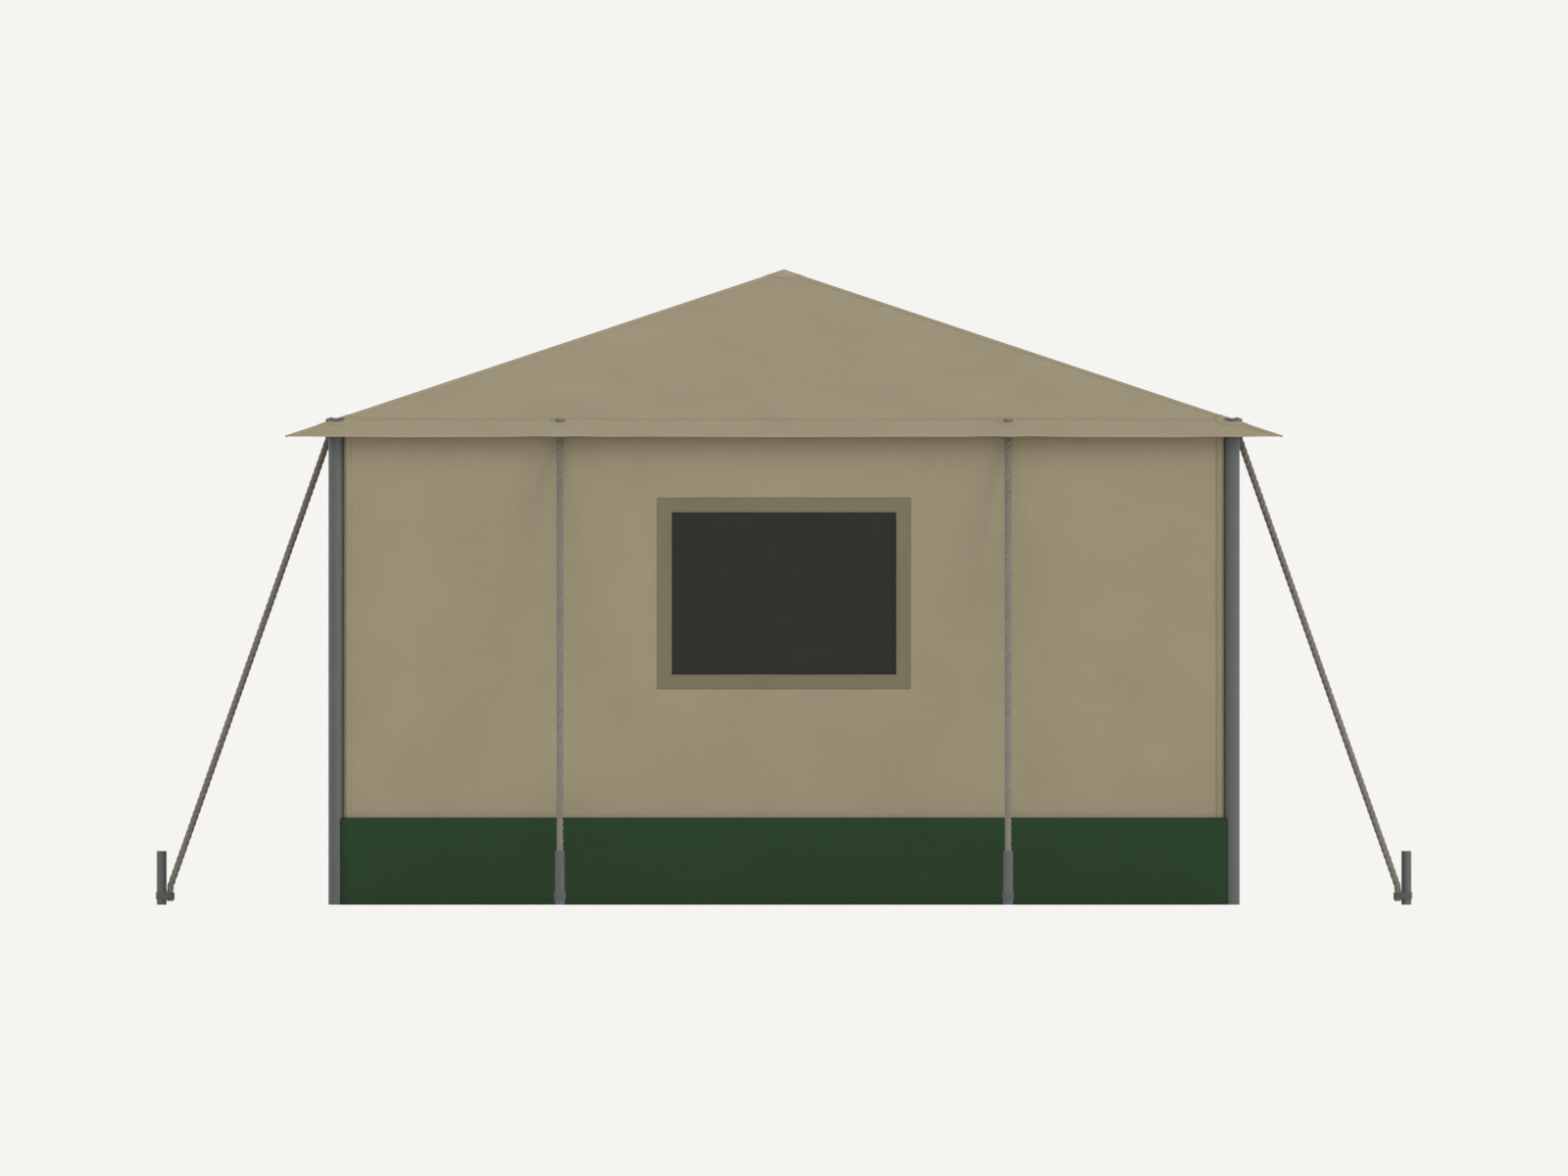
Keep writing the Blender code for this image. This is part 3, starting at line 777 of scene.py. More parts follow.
@dataclass
class Studio:
    """A plain pale floor, an even sky, and wide soft lamps low all round and overhead."""

    width: float = 5.248  # what the picture's 1600 pixels span, at 3.28 mm each
    centre_z: float = 1.060
    distance: float = 12.0
    backdrop: str = "#f5f4f1"
    sky_low: float = 1.05
    sky_high: float = 0.12
    sky_fade: float = 0.5  # how high up the sky has faded from the one to the other, from 0 to 1
    floor_colour: str = "#f3f2ef"
    floor_drop: float = 0.0005
    floor_radius: float = 60.0
    floor_lift: float = 0.145

    def build(self) -> None:
        """Makes the camera, the sky, the lamps and the floor."""
        self.camera()
        self.world()
        self.lamp("key", 1.55, 50.0, 6.0, 46.0)
        self.lamp("front", 0.80, -6.0, 6.0, 50.0)
        self.lamp("left", 0.75, -80.0, 6.0, 50.0)
        self.lamp("right", 0.50, 112.0, 6.0, 50.0)
        self.lamp("rear", 1.20, 200.0, 6.0, 50.0)
        self.lamp("top", 1.40, 0.0, 89.0, 36.0)
        self.floor()
        bpy.context.scene.view_settings.view_transform = "Standard"

    def camera(self) -> None:
        """A view square on to the front wall, without perspective."""
        data = bpy.data.cameras.new("camera")
        data.type = "ORTHO"
        data.ortho_scale = self.width
        made = bpy.data.objects.new("camera", data)
        made.location = (0.0, -self.distance, self.centre_z)
        made.rotation_euler = (math.pi / 2, 0.0, 0.0)
        bpy.context.scene.collection.objects.link(made)
        bpy.context.scene.camera = made

    @staticmethod
    def seen(tree: Tree) -> Socket:
        """Tells what is looked at from other light.

        Args:
            tree: the node tree.

        Returns:
            An output that is 1 where the camera, a mirror or a glass looks, and 0 elsewhere.
        """
        path = add_node(tree, "ShaderNodeLightPath").outputs
        rays = [path[f"Is {kind} Ray"] for kind in ("Camera", "Glossy", "Transmission")]
        return blend_of(tree, "MAXIMUM", *rays)

    def world(self) -> None:
        """The backdrop's colour where it is seen or mirrored, and an even light elsewhere."""
        world = bpy.data.worlds.new("studio")
        world.use_nodes = True
        bpy.context.scene.world = world
        tree = world.node_tree
        tree.nodes.clear()
        seen = self.seen(tree)
        # The sky is brightest low down, like a lit wall all round, so that the eaves cast hardly any shade.
        way = add_node(tree, "ShaderNodeTexCoord").outputs["Generated"]
        height = add_node(tree, "ShaderNodeSeparateXYZ", {0: way}).outputs["Z"]
        fade = {"Value": height, "From Max": self.sky_fade, "To Min": self.sky_low, "To Max": self.sky_high}
        level = add_node(tree, "ShaderNodeMapRange", fade)
        light = add_node(tree, "ShaderNodeBackground", {"Color": (1, 1, 1, 1), "Strength": level.outputs[0]})
        shown = add_node(tree, "ShaderNodeBackground", {"Color": linear(self.backdrop), "Strength": 1.0})
        mix = add_node(tree, "ShaderNodeMixShader", {0: seen, 1: light.outputs[0], 2: shown.outputs[0]})
        add_node(tree, "ShaderNodeOutputWorld", {"Surface": mix.outputs[0]})

    def lamp(self, name: str, strength: float, azimuth: float, elevation: float, spread: float) -> None:
        """Adds a far, wide lamp.

        Args:
            name: the lamp's name.
            strength: its strength, as a sun lamp's.
            azimuth: where it stands, in degrees round from the front to the right.
            elevation: its height over the horizon, in degrees.
            spread: how wide it looks, in degrees.
        """
        data = bpy.data.lights.new(name, "SUN")
        data.energy = strength
        data.angle = math.radians(spread)
        made = bpy.data.objects.new(name, data)
        made.rotation_euler = (math.radians(90 - elevation), 0.0, math.radians(azimuth))
        bpy.context.scene.collection.objects.link(made)

    def floor(self) -> None:
        """A matt floor just under the tent, as pale as the backdrop."""
        mesh = bpy.data.meshes.new("floor")
        edit = bmesh.new()
        bmesh.ops.create_circle(edit, cap_ends=True, segments=96, radius=self.floor_radius)
        edit.to_mesh(mesh)
        edit.free()
        material = bpy.data.materials.new("floor_painted_matt")
        material.use_nodes = True
        tree = material.node_tree
        shader = tree.nodes["Principled BSDF"]
        shader.inputs["Base Color"].default_value = linear(self.floor_colour)
        shader.inputs["Roughness"].default_value = 1.0
        shader.inputs["Specular IOR Level"].default_value = 0.0
        # What is seen of the floor is lifted to the backdrop's tone, over its own shade and shadow.
        glow = blend_of(tree, "MULTIPLY", self.seen(tree), self.floor_lift)
        lift = add_node(tree, "ShaderNodeEmission", {"Color": linear(self.backdrop), "Strength": glow})
        both = add_node(tree, "ShaderNodeAddShader", {0: shader.outputs[0], 1: lift.outputs[0]})
        tree.links.new(both.outputs[0], tree.nodes["Material Output"].inputs["Surface"])
        mesh.materials.append(material)
        made = bpy.data.objects.new("floor", mesh)
        made.location.z = -self.floor_drop
        bpy.context.scene.collection.objects.link(made)


# Guy ropes


def tubular(
    shape: Shape, centres: Array, outward: Array, radii: Array, twist: Array, outline: Array
) -> None:
    """Adds a long form with one outline all along a line, turning as it goes, and closed by flat ends.

    Args:
        shape: what it is added to.
        centres: points down its middle.
        outward: the direction of the outline's start at each point.
        radii: the size at each point.
        twist: how far the outline has turned at each point, in radians.
        outline: the outline's distance from the middle, all round, at size 1.
    """
    along = unit(np.gradient(centres, axis=0))
    over = unit(outward - along * (outward * along).sum(-1, keepdims=True))
    beside = np.cross(along, over)
    angle = circle(len(outline))
    turn = angle[None] + twist[:, None]
    reach = (radii[:, None] * outline[None])[..., None]
    outline_way = np.cos(turn)[..., None] * over[:, None] + np.sin(turn)[..., None] * beside[:, None]
    points = centres[:, None] + reach * outline_way
    run = np.append(0, np.cumsum(np.linalg.norm(np.diff(centres, axis=0), axis=1)))
    u = np.repeat(run[:, None], len(outline), 1)
    v = np.repeat((angle * radii.max())[None], len(centres), 0)
    cloth = np.stack([u, v], -1)
    ends = np.repeat(centres[[0, -1], None], len(outline), 1)
    points = np.concatenate([ends[:1], points, ends[1:]])
    cloth = np.concatenate([cloth[:1], cloth, cloth[-1:]])
    shape.grid(points, cloth, ring=True)


def three_strands(count: int = 24, groove: float = 0.38) -> Array:
    """Outline of three strands that press each other out of round.

    Args:
        count: how many points it has.
        groove: how deep the grooves are, from 0 for none to 1 for round strands.

    Returns:
        The outline's distance from the middle, all round, reaching to 1.
    """
    strand = 1 / (1 + 2 / math.sqrt(3))
    off = 1 - strand
    near = (circle(count) + math.pi / 3) % (2 * math.pi / 3) - math.pi / 3
    loose = off * np.cos(near) + np.sqrt(np.maximum(strand**2 - (off * np.sin(near)) ** 2, 0))
    return 1 - groove + groove * loose


@dataclass
class GuyRope:
    """A guy: a three-strand rope from its stopper knot over the roof to its end, lashed to the stake."""

    side: Side
    hand: int  # -1 for the guy at -X of the front side's place, and 1 for the other
    radius: float = 0.0115
    lay_length: float = 0.069
    lay_rings: int = 14  # points down its middle in each lay length
    straight: float = 0.008
    bend_radius: float = 0.050
    bend_steps: int = 12
    tail_points: int = 7
    weld: float = 0.00002
    tail_line: float = 2.0541  # the rope's end stands upright beside its stake
    tail_top_z: float = 0.060
    tail_foot_z: float = 0.012
    stake_radius: float = 0.0165
    lashing_z: float = 0.018
    lashing_turns: int = 8
    twine: float = 0.0030
    twine_gap: float = 0.0002  # from the stake to the twine
    twine_press: float = 0.52  # the twine's radius over its pitch, so that its turns touch
    laps: tuple[int, int] = (13, 19)  # points of each turn round the rope, and round the stake
    knot_radius: float = 0.0140
    knot_height: float = 0.0118
    knot_gap: float = 0.0004
    knot_foot: float = 0.12  # share of its height that stays as wide as its foot
    knot_turn: float = 2.4  # how far its strands turn, in radians
    knot_rings: int = 13

    @property
    def label(self) -> str:
        """The guy's place in a node's name."""
        return f"{self.side.label}_{self.side.ends[(self.hand + 1) // 2]}"

    def route(self) -> Array:
        """Finds the rope's middle line, from its eyelet to its end.

        Returns:
            Its points, in the front side's place.
        """
        x = self.hand * GUY_X
        down = np.array([0.0, math.sin(PITCH), -math.cos(PITCH)])
        eyelet = np.array([x, -EYELET_LINE, PLAN.peak_z - EYELET_LINE * PLAN.slope])
        start = eyelet + down * self.straight
        tail = np.array([x, -self.tail_line, self.tail_top_z])
        lean = math.atan2(start[1] - tail[1], start[2] - tail[2])
        points, steps = [eyelet, start], self.bend_steps
        run = self.bend_radius * (lean + PITCH) / steps
        for i in range(steps):
            angle = -PITCH + (lean + PITCH) * (i + 0.5) / steps
            points.append(points[-1] + np.array([0.0, -math.sin(angle), -math.cos(angle)]) * run)
        # The rope turns upright over its own width, where the lashing pulls it to the stake.
        slant = np.array([0.0, math.sin(lean), math.cos(lean)]) * self.radius
        upright = np.array([0.0, 0.0, -self.radius])
        for share in np.linspace(0, 1, self.tail_points):
            points.append(tail + (1 - share) ** 2 * slant + share**2 * upright)
        return np.array([*points, [x, -self.tail_line, self.tail_foot_z]])

    def build(self) -> None:
        route = self.route()
        run = np.append(0, np.cumsum(np.linalg.norm(np.diff(route, axis=0), axis=1)))
        at = np.linspace(0, run[-1], round(run[-1] / (self.lay_length / self.lay_rings)))
        middle = np.stack([np.interp(at, run, route[:, k]) for k in range(3)], -1)
        rope = self.rope(middle, at)
        pieces = [self.knot(middle), self.lashing()]
        path = self.side.turn(middle)

    def rope(self, middle: Array, at: Array) -> Piece:
        """Makes the standing part, which turns once in each lay length.

        Args:
            middle: points down its middle, in the front side's place.
            at: each point's distance along the rope.

        Returns:
            The piece.
        """
        shape = Shape()
        radii = np.full(len(middle), self.radius)
        outward = np.cross([1.0, 0.0, 0.0], np.gradient(middle, axis=0))
        twist = at * 2 * math.pi / self.lay_length
        tubular(shape, self.side.turn(middle), self.side.turn(outward), radii, twist, three_strands())
        made = shape.build(f"guy_rope_laid_{self.label}", ROPE, weld=self.weld, sharp=75)
        return put(made, TENT, "rope", f"guy_rope_{self.label}")

    def knot(self, middle: Array) -> Piece:
        """Makes the stopper over the eyelet: the three strands crowned and tucked.

        Args:
            middle: points down the rope's middle, in the front side's place.

        Returns:
            The piece.
        """
        out = np.array([0.0, -math.sin(PITCH), math.cos(PITCH)])
        share = np.linspace(0, 1, self.knot_rings)
        centres = middle[0] + out * (self.knot_gap + self.knot_height * share)[:, None]
        bulge = 2 * np.clip(share, self.knot_foot, 1) - 1.0
        radii = self.knot_radius * np.sqrt(np.clip(1 - bulge**4, 0, 1))
        shape = Shape()
        outward = self.side.turn(np.repeat([[1.0, 0.0, 0.0]], len(centres), 0))
        tubular(shape, self.side.turn(centres), outward, radii, share * self.knot_turn, three_strands())
        return put(shape.build(f"guy_knot_{self.label}", ROPE, weld=self.weld, sharp=75), TENT, "rope")

    def lashing(self) -> Piece:
        """Makes the turns of twine round the stake and the rope's end beside it.

        Returns:
            The piece.
        """
        far = self.stake_radius + self.twine_gap + self.twine / 2
        near = self.radius + self.twine / 2
        # The twine's straight runs touch both rounds at this angle from the line between them.
        lap = math.acos((far - near) / (STAKE_LINE - self.tail_line))
        round_rope = np.linspace(-lap, lap, self.laps[0])
        round_stake = np.linspace(lap, 2 * math.pi - lap, self.laps[1])
        angle = np.append(round_rope, round_stake)
        reach = np.repeat([near, far], self.laps)
        middle = np.repeat([-self.tail_line, -STAKE_LINE], self.laps)
        once = np.stack([self.hand * GUY_X + reach * np.sin(angle), middle + reach * np.cos(angle)], -1)
        plan = np.tile(once, (self.lashing_turns, 1))
        climb = np.linspace(0.0, self.lashing_turns * self.twine, len(plan)) + self.lashing_z
        centres = np.append(plan, climb[:, None], 1)
        outward = np.stack([np.sin(angle), np.cos(angle), np.zeros(len(angle))], -1)
        outward = np.tile(outward, (self.lashing_turns, 1))
        radii = np.full(len(centres), self.twine * self.twine_press)
        shape = Shape()
        tubular(shape, self.side.turn(centres), self.side.turn(outward), radii, radii * 0, np.ones(8))
        return put(shape.build(f"guy_lashing_{self.label}", TWINE, weld=self.weld, sharp=80), TENT, "rope")


# Roof


@dataclass(frozen=True)
class RoofPanel:
    """The canopy's top face on one side; u runs along the eave, and v climbs from it in plan."""

    seed: float
    sag: float = 0.018
    droop: float = 0.0025
    uneven: float = 0.0016
    crease: float = 0.0011
    crease_folds: int = 7
    crease_peak: float = 0.13  # how far from what pulls the cloth a crease is highest
    crease_start: float = 0.10
    cap_share: float = 0.7  # a cap's creases, against an eyelet's

    def __call__(self, u: Array, v: Array) -> Array:
        """Places on the panel, for places along its two axes."""
        out = PLAN.eave_half - v
        return np.stack([u, -out, PLAN.peak_z - out * PLAN.slope - self.drop(u, out)], -1)

    def drop(self, u: Array, out: Array) -> Array:
        """How far the cloth lies under the straight slope.

        Args:
            u: places along the eave.
            out: distances from the peak's axis.

        Returns:
            The drops, in metres.
        """
        share = np.clip(np.abs(u) / np.maximum(out, 1e-6), 0, 1)
        inner = np.clip(out / PLAN.post_line, 0, 1)
        hung = self.sag * (1 - share**2) * np.sin(math.pi * inner) ** 1.3
        uneven = self.uneven * ripple(u, out, self.seed) * (1 - share**4) * np.sin(math.pi * inner)
        past = np.clip((out - PLAN.post_line) / (PLAN.eave_half - PLAN.post_line), 0, 1)
        middle = np.cos(math.pi * u / (2 * GUY_X)) ** 2
        ends = np.sin(math.pi * (np.abs(u) - GUY_X) / (PLAN.eave_half - GUY_X)) ** 2
        eave = self.droop * past**2 * np.where(np.abs(u) < GUY_X, middle, ends)
        return hung + uneven + eave - self.creases(u, out) * (1 - share**8)

    def creases(self, u: Array, out: Array) -> Array:
        """Small folds that fan out from the eyelets and the caps, where the cloth is pulled.

        Args:
            u: places along the eave.
            out: distances from the peak's axis.

        Returns:
            Their heights, in metres.
        """
        total, peak = np.zeros_like(u), self.crease_peak
        spots = ((GUY_X, EYELET_LINE, 1.0), (PLAN.post_line, PLAN.post_line, self.cap_share))
        for x, line, size in spots:
            across, away = np.abs(u) - x, out - line
            far = np.hypot(across, away)
            fan = np.cos(self.crease_folds * np.arctan2(across, -away) + 0.4 * self.seed)
            near = eased(far / self.crease_start)
            total = total + size * fan * (far / peak) * np.exp(1 - far / peak) * near
        return self.crease * total


def roof_place(x: Array, y: Array) -> Array:
    """Points of the roof's top face over places in plan, near a cap or an eyelet."""
    out, along = np.maximum(np.abs(x), np.abs(y)), np.minimum(np.abs(x), np.abs(y))
    return np.stack([x, y, PLAN.peak_z - out * PLAN.slope - RoofPanel(0.0).drop(along, out)], -1)


@dataclass
class RoofCanopy:
    """The canopy: one sheet sewn from four gores, with taped hips, a hem and worked eyelets."""

    thickness: float = 0.0016
    proud: float = 0.0009
    columns: int = 161
    row_step: float = 0.024
    hem: float = 0.030
    hem_fold: float = 0.0012  # how far the hem's fold reaches past the sheet's edge
    hem_soft: tuple[float, float] = (0.0010, 0.0004)  # from the eave to its faces, under and over
    tape: float = 0.020
    tape_step: float = 0.020
    tape_ramp: float = 0.012  # a hip tape climbs on to the hem from this far before it
    tape_climb: float = 0.010  # and is up after this length
    tape_top: float = 0.040  # where the hip tapes stop, under the crown's patch
    cap_gap: tuple[float, float] = (1.479, 1.528)  # where the hip tapes stop, to clear the caps
    seam_half: float = 0.010
    seam_step: float = 0.018
    patch_proud: float = 0.0018
    patch_lap: float = 0.0002  # how far a patch sinks into the sheet
    patch_sides: int = 48
    crown_patch: float = 0.080
    cap_patch: float = 0.062
    cap_room: float = 0.001  # how much wider than its post a cap's hole is, all round
    eyelet_patch: float = 0.034
    eyelet_hole: float = 0.0122
    punch_depth: float = 0.08
    punch_sides: int = 32
    punch_turn: float = 0.5  # in steps, to keep a punch's corners off the hips, where the cloth has points
    hem_row: float = 0.005  # from the sheet's edge, or a patch's, to its row of stitches
    inset: float = 0.004
    seam_inset: float = 0.003
    hip_row_top: float = 0.09
    cap_clear: float = 0.03
    panels: tuple = tuple(RoofPanel(1.0 + 1.3 * side.value) for side in Side)

    def build(self) -> None:
        canopy = self.canopy()
        extras = [self.eave_hem(), *self.hip_tapes(), *self.eave_seams(), self.patches(), self.stitches()]

    def canopy(self) -> Piece:
        """Makes the sheet itself, closed at the hips.

        Returns:
            The piece.
        """
        shape = Shape()
        breaks = [0.0, self.hem, PLAN.eave_half - PLAN.post_line, PLAN.eave_half]
        climb = lines(breaks, self.row_step)
        share = np.linspace(-1, 1, self.columns)
        for side in Side:
            v = np.repeat(climb[:, None], len(share), 1)
            u = (PLAN.eave_half - v) * share[None]
            points = side.turn(self.panels[side.value](u, v))
            shape.grid(points, np.stack([u, v / math.cos(PITCH)], -1))
        made = shape.build("roof_canopy_sheet", ROOF_CANVAS_PAINTED_LIGHTER, weld=0.0001, sharp=18)
        thicken(made, self.thickness)
        self.pierce(made)
        return put(made, TENT, "roof_canvas", "roof_canopy")

    def pierce(self, canopy: Piece) -> None:
        """Cuts the canopy's holes for the caps and the guys.

        Args:
            canopy: the sheet, already thick.
        """
        edit = bmesh.new()
        turn = Matrix.Rotation(self.punch_turn * 2 * math.pi / self.punch_sides, 4, "Z")
        for x, y, hole, _ in self.anchors():
            height = PLAN.peak_z - max(abs(x), abs(y)) * PLAN.slope
            if hole:
                bmesh.ops.create_cone(
                    edit,
                    cap_ends=True,
                    segments=self.punch_sides,
                    radius1=hole,
                    radius2=hole,
                    depth=self.punch_depth,
                    matrix=Matrix.Translation((x, y, height)) @ turn,
                )
        mesh = bpy.data.meshes.new("punch")
        edit.to_mesh(mesh)
        edit.free()
        punch = bpy.data.objects.new("punch", mesh)
        cut = canopy.modifiers.new("holes", "BOOLEAN")
        cut.operation = "DIFFERENCE"
        cut.object = punch
        bpy.context.scene.collection.objects.link(punch)
        shown = canopy.evaluated_get(bpy.context.evaluated_depsgraph_get())
        cut_mesh = bpy.data.meshes.new_from_object(shown)
        canopy.modifiers.clear()
        canopy.data = cut_mesh
        bpy.data.objects.remove(punch, do_unlink=True)

    def eave_hem(self) -> Piece:
        """Makes the hem, folded round the sheet's edge.

        Returns:
            The piece.
        """
        shape = Shape()
        low, past = -self.thickness - self.proud, -self.hem_fold
        under, over = self.hem_soft
        # Each point of the section is a distance in from the eave, and a height over the sheet.
        fold = [(under, low), (past, past), (past, 0.0), (over, self.proud)]
        section = np.array([(self.hem, low), *fold, (self.hem, self.proud), (self.hem, low)])
        share = np.linspace(-1, 1, self.columns)
        for side in Side:
            v = np.repeat(section[:, :1], len(share), 1)
            u = (PLAN.eave_half - v) * share[None]
            points = self.panels[side.value](u, v)
            points[..., 2] += section[:, 1:]
            shape.grid(side.turn(points), np.stack([u, v], -1))
        return put(shape.build("roof_eave_hem", ROOF_CANVAS_PAINTED_LIGHTER, weld=0.0003, sharp=50), TENT, "roof_canvas")

    def hip_strip(self, side: Side, hand: int, offs: tuple[float, ...], outs: Array) -> tuple[Array, Array]:
        """Points in lines along a hip, at some distances from it in plan.

        Args:
            side: the tent's side.
            hand: which of the panel's two hips, -1 or 1.
            offs: distances from the hip.
            outs: distances from the peak's axis, one a row.

        Returns:
            The points, and their places on the cloth.
        """
        off = np.array(offs if hand < 0 else offs[::-1])
        out, away = np.meshgrid(outs, off, indexing="ij")
        u = hand * (out - math.sqrt(2) * away)
        points = self.panels[side.value](u, PLAN.eave_half - out)
        cloth = np.stack([np.where(hand < 0, away, -away), -out * math.sqrt(2)], -1)
        return side.turn(points), cloth

    def hip_tapes(self) -> list[Piece]:
        """Makes a folded tape over each hip.

        Returns:
            The pieces.
        """
        made, offs = [], (0.0, self.tape / 2, self.tape)
        fold = PLAN.eave_half - self.hem
        outer = lines([PLAN.eave_half, fold, fold - self.tape_ramp, self.cap_gap[1]], -self.tape_step)
        inner = lines([self.cap_gap[0], self.tape_top], -self.tape_step)
        for corner, side in zip(CORNERS, Side, strict=True):
            shape = Shape()
            for panel, hand in ((side, -1), (Side((side.value - 1) % 4), 1)):
                for outs in (outer, inner):
                    points, cloth = self.hip_strip(panel, hand, offs, outs)
                    over_hem = eased((outs - fold + self.tape_ramp) / self.tape_climb)
                    points[..., 2] += self.proud * (1 + over_hem[:, None])
                    shape.grid(points, cloth)
            piece = shape.build(f"roof_hip_tape_{corner}", ROOF_CANVAS_PAINTED_LIGHTER, weld=0.0001, sharp=18)
            thicken(piece, self.proud)
            made.append(put(piece, TENT, "roof_canvas"))
        return made

    def eave_seams(self) -> list[Piece]:
        """Makes the seam over each eave rail, which the wall under it is hung from.

        Returns:
            The pieces.
        """
        us = lines([-PLAN.wall_half, PLAN.wall_half], self.seam_step)
        climb = PLAN.eave_half - PLAN.post_line
        rows = np.array([climb - self.seam_half, climb + self.seam_half])
        made = []
        for side in Side:
            name, panel = f"roof_eave_seam_{side.label}", self.panels[side.value]
            piece = band(name, WALL_CANVAS, panel, side, us, rows, self.proud)
            made.append(put(piece, TENT, "wall_canvas"))
        return made

    def patches(self) -> Piece:
        """Makes the round patches that strengthen the canopy at its crown, caps and eyelets.

        Returns:
            The piece.
        """
        shape = Shape()
        angle = np.arange(self.patch_sides + 1) * 2 * math.pi / self.patch_sides
        for x, y, hole, edge in self.anchors():
            far, round_it = np.meshgrid(np.array([hole, edge]), angle, indexing="ij")
            px, py = x + far * np.sin(round_it), y + far * np.cos(round_it)
            points = roof_place(px, py)
            points[..., 2] += self.patch_proud
            shape.grid(points, np.stack([px, py], -1))
        made = shape.build("roof_patches", ROOF_CANVAS_PAINTED_LIGHTER, weld=0.0001, sharp=18)
        thicken(made, self.patch_proud + self.patch_lap)
        return put(made, TENT, "roof_canvas")

    def anchors(self) -> list[tuple[float, float, float, float]]:
        """Lists the patches of the crown, the caps and the eyelets.

        Returns:
            Each one's place in plan, and the radius of its hole and of its edge.
        """
        found = [(0.0, 0.0, 0.0, self.crown_patch)]
        cap_hole = PLAN.post_radius + self.cap_room
        for side in Side:
            spots = [(-PLAN.post_line, -PLAN.post_line, cap_hole, self.cap_patch)]
            for hand in (-1, 1):
                spots.append((hand * GUY_X, -EYELET_LINE, self.eyelet_hole, self.eyelet_patch))
            for x, y, hole, edge in spots:
                turned = side.turn(np.array([x, y, 0.0]))
                found.append((float(turned[0]), float(turned[1]), hole, edge))
        return found

    def stitches(self) -> Piece:
        """Makes every row of stitches on the canopy.

        Returns:
            The piece.
        """
        sewn = Stitching()
        climb = PLAN.eave_half - PLAN.post_line
        seam_rows = (climb - self.seam_half + self.seam_inset, climb + self.seam_half - self.seam_inset)
        outs = np.arange(self.hip_row_top, PLAN.eave_half - self.hem, sewn.pitch / math.sqrt(2))
        kept = (outs < self.cap_gap[0] - self.cap_clear) | (outs > self.cap_gap[1] + self.cap_clear)
        for side in Side:
            panel = self.panels[side.value]
            for v in (self.hem_row, self.hem - self.inset):
                half = PLAN.eave_half - v - self.inset
                sewn.row(panel, side, (-half, v), (half, v), self.proud)
            for v in seam_rows:
                sewn.row(panel, side, (-PLAN.wall_half, v), (PLAN.wall_half, v), self.proud)
            for hand in (-1, 1):
                points, _ = self.hip_strip(side, hand, (self.tape - self.inset,), outs)
                along = np.gradient(points[:, 0], axis=0)[kept]
                out = side.turn(np.tile([0.0, -math.sin(PITCH), math.cos(PITCH)], (kept.sum(), 1)))
                sewn.sew(points[kept, 0] + [0.0, 0.0, self.proud], along, out)
        for x, y, _, edge in self.anchors():
            count = round(2 * math.pi * edge / sewn.pitch)
            angle, reach = circle(count), edge - self.hem_row
            points = roof_place(x + reach * np.sin(angle), y + reach * np.cos(angle))
            points[:, 2] += self.patch_proud
            along = np.roll(points, -1, 0) - np.roll(points, 1, 0)
            sewn.sew(points, along, np.tile([0.0, 0.0, 1.0], (count, 1)))
        return sewn.build("roof_stitching", TENT, "roof_canvas")


# Walls


@dataclass(frozen=True)
class WallFace:
    """A wall's outer face; u runs to the right and v is the height."""

    side: Side
    bulge: float = 0.0100
    post_fade: float = 0.22  # the bulge dies away over this much, towards a post
    head_fade: float = 0.30
    foot_fade: float = 0.20
    opening_fade: float = 0.14
    margin: float = 0.01  # flat cloth over the skirt and over the door
    opening_margin: float = 0.006
    door_half: float = 0.48  # half the width of the flat cloth that the door and its seams lie on

    def __call__(self, u: Array, v: Array) -> Array:
        """Finds places on the wall.

        Args:
            u: places across it.
            v: places up it.

        Returns:
            The same places in the frame, in the front side's place.
        """
        loose = eased((PLAN.wall_half - np.abs(u)) / self.post_fade)
        loose = loose * eased((PLAN.wall_head_z - v) / self.head_fade)
        loose = loose * eased((v - PLAN.skirt_top_z - self.margin) / self.foot_fade)
        if self.side == Side.BACK:
            clear = np.maximum(np.abs(u) - self.door_half, v - PLAN.flap_high_z - self.margin)
        else:
            middle = (PLAN.border_low_z + PLAN.border_high_z) / 2
            tall = (PLAN.border_high_z - PLAN.border_low_z) / 2
            clear = np.maximum(np.abs(u) - PLAN.border_half, np.abs(v - middle) - tall)
        loose = loose * eased((clear - self.opening_margin) / self.opening_fade)
        swell = self.bulge * loose * (0.5 + 0.5 * ripple(u, v, 2.0 + 1.7 * self.side.value))
        return np.stack([u, -PLAN.post_line - swell, v], -1)


